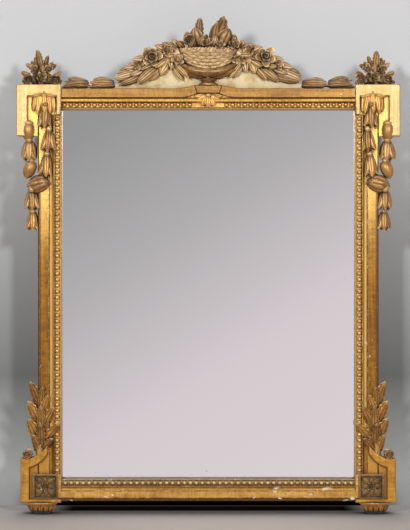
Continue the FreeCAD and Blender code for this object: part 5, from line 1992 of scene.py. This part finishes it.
@dataclass
class Studio:
    """A pale floor and a grey backdrop with painted shade and shadows, soft lamps and the camera, in metres.
    """

    camera_place: Place = (-0.0079, -4.5065, 0.5976)
    lens: float = 127.36
    wall_y: float = 0.155
    wall_half: float = 2.0
    wall_shaded: float = 1.3
    room: float = 7.0

    # A pair is where a change starts and where it is complete.
    FLOOR_NEAR = (-0.26, -0.04)  # from the front: painted shade, the floor greyer towards the mirror
    GAP_FRONT = (0.01, 0.065)  # painted shadow: the dark strip of floor under and behind the frame: front, back and ends
    GAP_BACK = (0.24, 0.12)
    GAP_ENDS = (0.41, 0.33)
    WALL_FOOT = (0.07, 0.0)  # painted shadow: the dark foot of the backdrop behind that strip: its height and ends
    WALL_ENDS = (0.5, 0.4)
    FLOOR = srgb(210, 198, 190)
    FLOOR_WORN = srgb(200, 188, 180)
    # painted shade and shadows: the floor greyer near the mirror, its contact shadow, the shadow strip behind
    # the frame, and the shadow at the backdrop's foot
    FLOOR_SHADE = srgb(190, 185, 184)
    CONTACT_SHADOW = srgb(40, 34, 33)
    GAP_SHADOW = srgb(24, 20, 20)
    WALL_SHADOW = srgb(8, 6, 6)
    LAMPS = (Lamp((-1.4, -3.6, 1.6), (-0.2, 0.0, 0.8), 0.5, 74.0),
             Lamp((1.4, -3.6, 1.6), (0.2, 0.0, 0.8), 0.5, 74.0),
             Lamp((0.0, 2.8, 2.2), (0.0, 0.0, 0.6), 2.2, 45.0))
    # The backdrop's painted light and shade, from the floor up to where its shading ends.
    PAPER_LIGHT_AND_SHADE = ((0.0, srgb(184, 188, 187)), (0.06, srgb(197, 202, 201)), (0.25, srgb(126, 129, 129)),
             (0.5, srgb(168, 171, 171)), (0.76, srgb(206, 209, 210)), (1.0, srgb(206, 206, 208)))
    # The room that metal and glass show, from low on the right to high on the left.
    ROOM = ((0.0, (0.56, 0.52, 0.53, 1.0)), (0.43, (0.72, 0.66, 0.68, 1.0)),
            (0.468, (0.69, 0.63, 0.655, 1.0)), (0.515, (0.45, 0.44, 0.445, 1.0)),
            (0.556, (0.318, 0.32, 0.322, 1.0)), (0.6, (0.29, 0.29, 0.29, 1.0)),
            (0.74, (0.55, 0.54, 0.53, 1.0)), (0.88, (1.1, 1.08, 1.05, 1.0)), (1.0, (1.3, 1.27, 1.24, 1.0)))
    FILL = (0.13, 0.13, 0.135, 1.0)  # the soft light from all sides
    SEEN = srgb(190, 189, 187)  # what the camera sees beyond the stage

    def build(self) -> None:
        """Sets up everything round the mirror."""
        self.floor()
        self.backdrop()
        self.world()
        for lamp in self.LAMPS:
            lamp.hang()
        self.camera()
        bpy.context.scene.view_settings.view_transform = "Standard"

    def camera(self) -> None:
        """Sets the camera level and square to the mirror."""
        camera = bpy.data.objects.new("camera", bpy.data.cameras.new("camera"))
        camera.data.lens = self.lens
        camera.location = self.camera_place
        camera.rotation_euler = (math.pi / 2.0, 0.0, 0.0)
        bpy.context.scene.collection.objects.link(camera)
        bpy.context.scene.camera = camera

    def plane(self, name: str, turn: float, place: Place, half: Point) -> Piece:
        """Adds a flat stage piece that metal and glass don't show.

        Args:
            name: Its name.
            turn: Turn about X, in degrees.
            place: Its middle.
            half: Half its width and depth.

        Returns:
            The piece.
        """
        Bench.clear()
        bpy.ops.mesh.primitive_plane_add(size=2.0)
        plane = Bench.added(name)
        spin = Matrix.Rotation(math.radians(turn), 4, "X")
        plane.data.transform(Matrix.Translation(place) @ spin @ Matrix.Diagonal((half[0], half[1], 1.0, 1.0)))
        plane.visible_glossy = False
        return plane

    def floor(self) -> None:
        """Lays the floor, with painted shadow under and behind the frame and where it stands close over it,
        and painted shade greying it towards the mirror.
        """
        plane = self.plane("floor", 0.0, (0.0, 0.0, 0.0), (self.room, self.room))
        material, board = new_finish("floor_paint")
        place = board.places()
        x, y, _ = board.axes(place)
        colour = board.mix(board.noise(place, 6.0, 4.0), self.FLOOR, self.FLOOR_WORN)
        # painted shade: greyer towards the mirror
        colour = board.mix(board.step(y, *self.FLOOR_NEAR), colour, self.FLOOR_SHADE)
        # painted contact shadow in the floor's hollows
        colour = board.mix(board.step(board.hollows(0.2), 0.15, 0.8), colour, self.CONTACT_SHADOW)
        # painted shadow under and behind the frame
        under = board.step(y, *self.GAP_FRONT) * board.step(y, *self.GAP_BACK)
        colour = board.mix(under * board.step(x.size(), *self.GAP_ENDS), colour, self.GAP_SHADOW)
        board.surface({"Base Color": colour, "Roughness": 0.8, "Specular IOR Level": 0.0})
        plane.data.materials.append(material)

    def backdrop(self) -> None:
        """Hangs a grey backdrop that is seen from the front only, painted lighter and darker up its height as
        painted light and shade, with a painted shadow at its foot behind the frame.
        """
        place = (0.0, self.wall_y, self.wall_half)
        plane = self.plane("backdrop", 90.0, place, (self.room, self.wall_half))
        plane.visible_diffuse = False
        plane.visible_shadow = False
        material, board = new_finish("backdrop_paper")
        x, _, z = board.axes(board.places())
        # painted light and shade up the backdrop
        colour = board.ramp(self.PAPER_LIGHT_AND_SHADE, (z * (1.0 / self.wall_shaded)).held())
        # painted shadow at the backdrop's foot behind the frame
        foot_shadow = board.step(z, *self.WALL_FOOT) * board.step(x.size(), *self.WALL_ENDS)
        colour = board.mix(foot_shadow, colour, self.WALL_SHADOW)
        paper = board.node("ShaderNodeBsdfDiffuse", {}, {"Color": colour}).outputs[0]
        clear = board.node("ShaderNodeBsdfTransparent", {}, {}).outputs[0]
        inputs = {0: board.geometry("Backfacing"), 1: paper, 2: clear}
        shader = board.node("ShaderNodeMixShader", {}, inputs).outputs[0]
        board.node("ShaderNodeOutputMaterial", {}, {0: shader})
        plane.data.materials.append(material)

    def world(self) -> None:
        """Fills the room with soft light, and gives the glass a quiet room to show."""
        world = bpy.data.worlds.new("studio")
        world.use_nodes = True
        bpy.context.scene.world = world
        board = Board(world.node_tree)
        x, _, z = board.axes(board.coords("Generated"))
        room = board.ramp(self.ROOM, z * 0.5 - x * 0.31 + 0.5)
        path = board.node("ShaderNodeLightPath", {}, {}).outputs
        seen = Shade(board, path["Is Glossy Ray"]) + Shade(board, path["Is Transmission Ray"])
        plain = board.mix(Shade(board, path["Is Camera Ray"]), self.FILL, self.SEEN)
        colour = board.mix(seen.held(), plain, room)
        light = board.node("ShaderNodeBackground", {}, {"Color": colour, "Strength": 1.0}).outputs[0]
        board.node("ShaderNodeOutputWorld", {}, {0: light})


def main() -> None:
    """Builds the pieces in order, dresses the solids and sets up the studio."""
    logging.basicConfig(level=logging.INFO, format="%(name)s: %(message)s")
    finishes = Finishes()
    carver = Carver()
    Members(finishes).dress()
    for assembly in (Crest(carver, finishes), Ears(carver, finishes), Base(carver, finishes)):
        assembly.build()
    carver.clear_away()
    Studio().build()


if __name__ == "__main__":
    main()
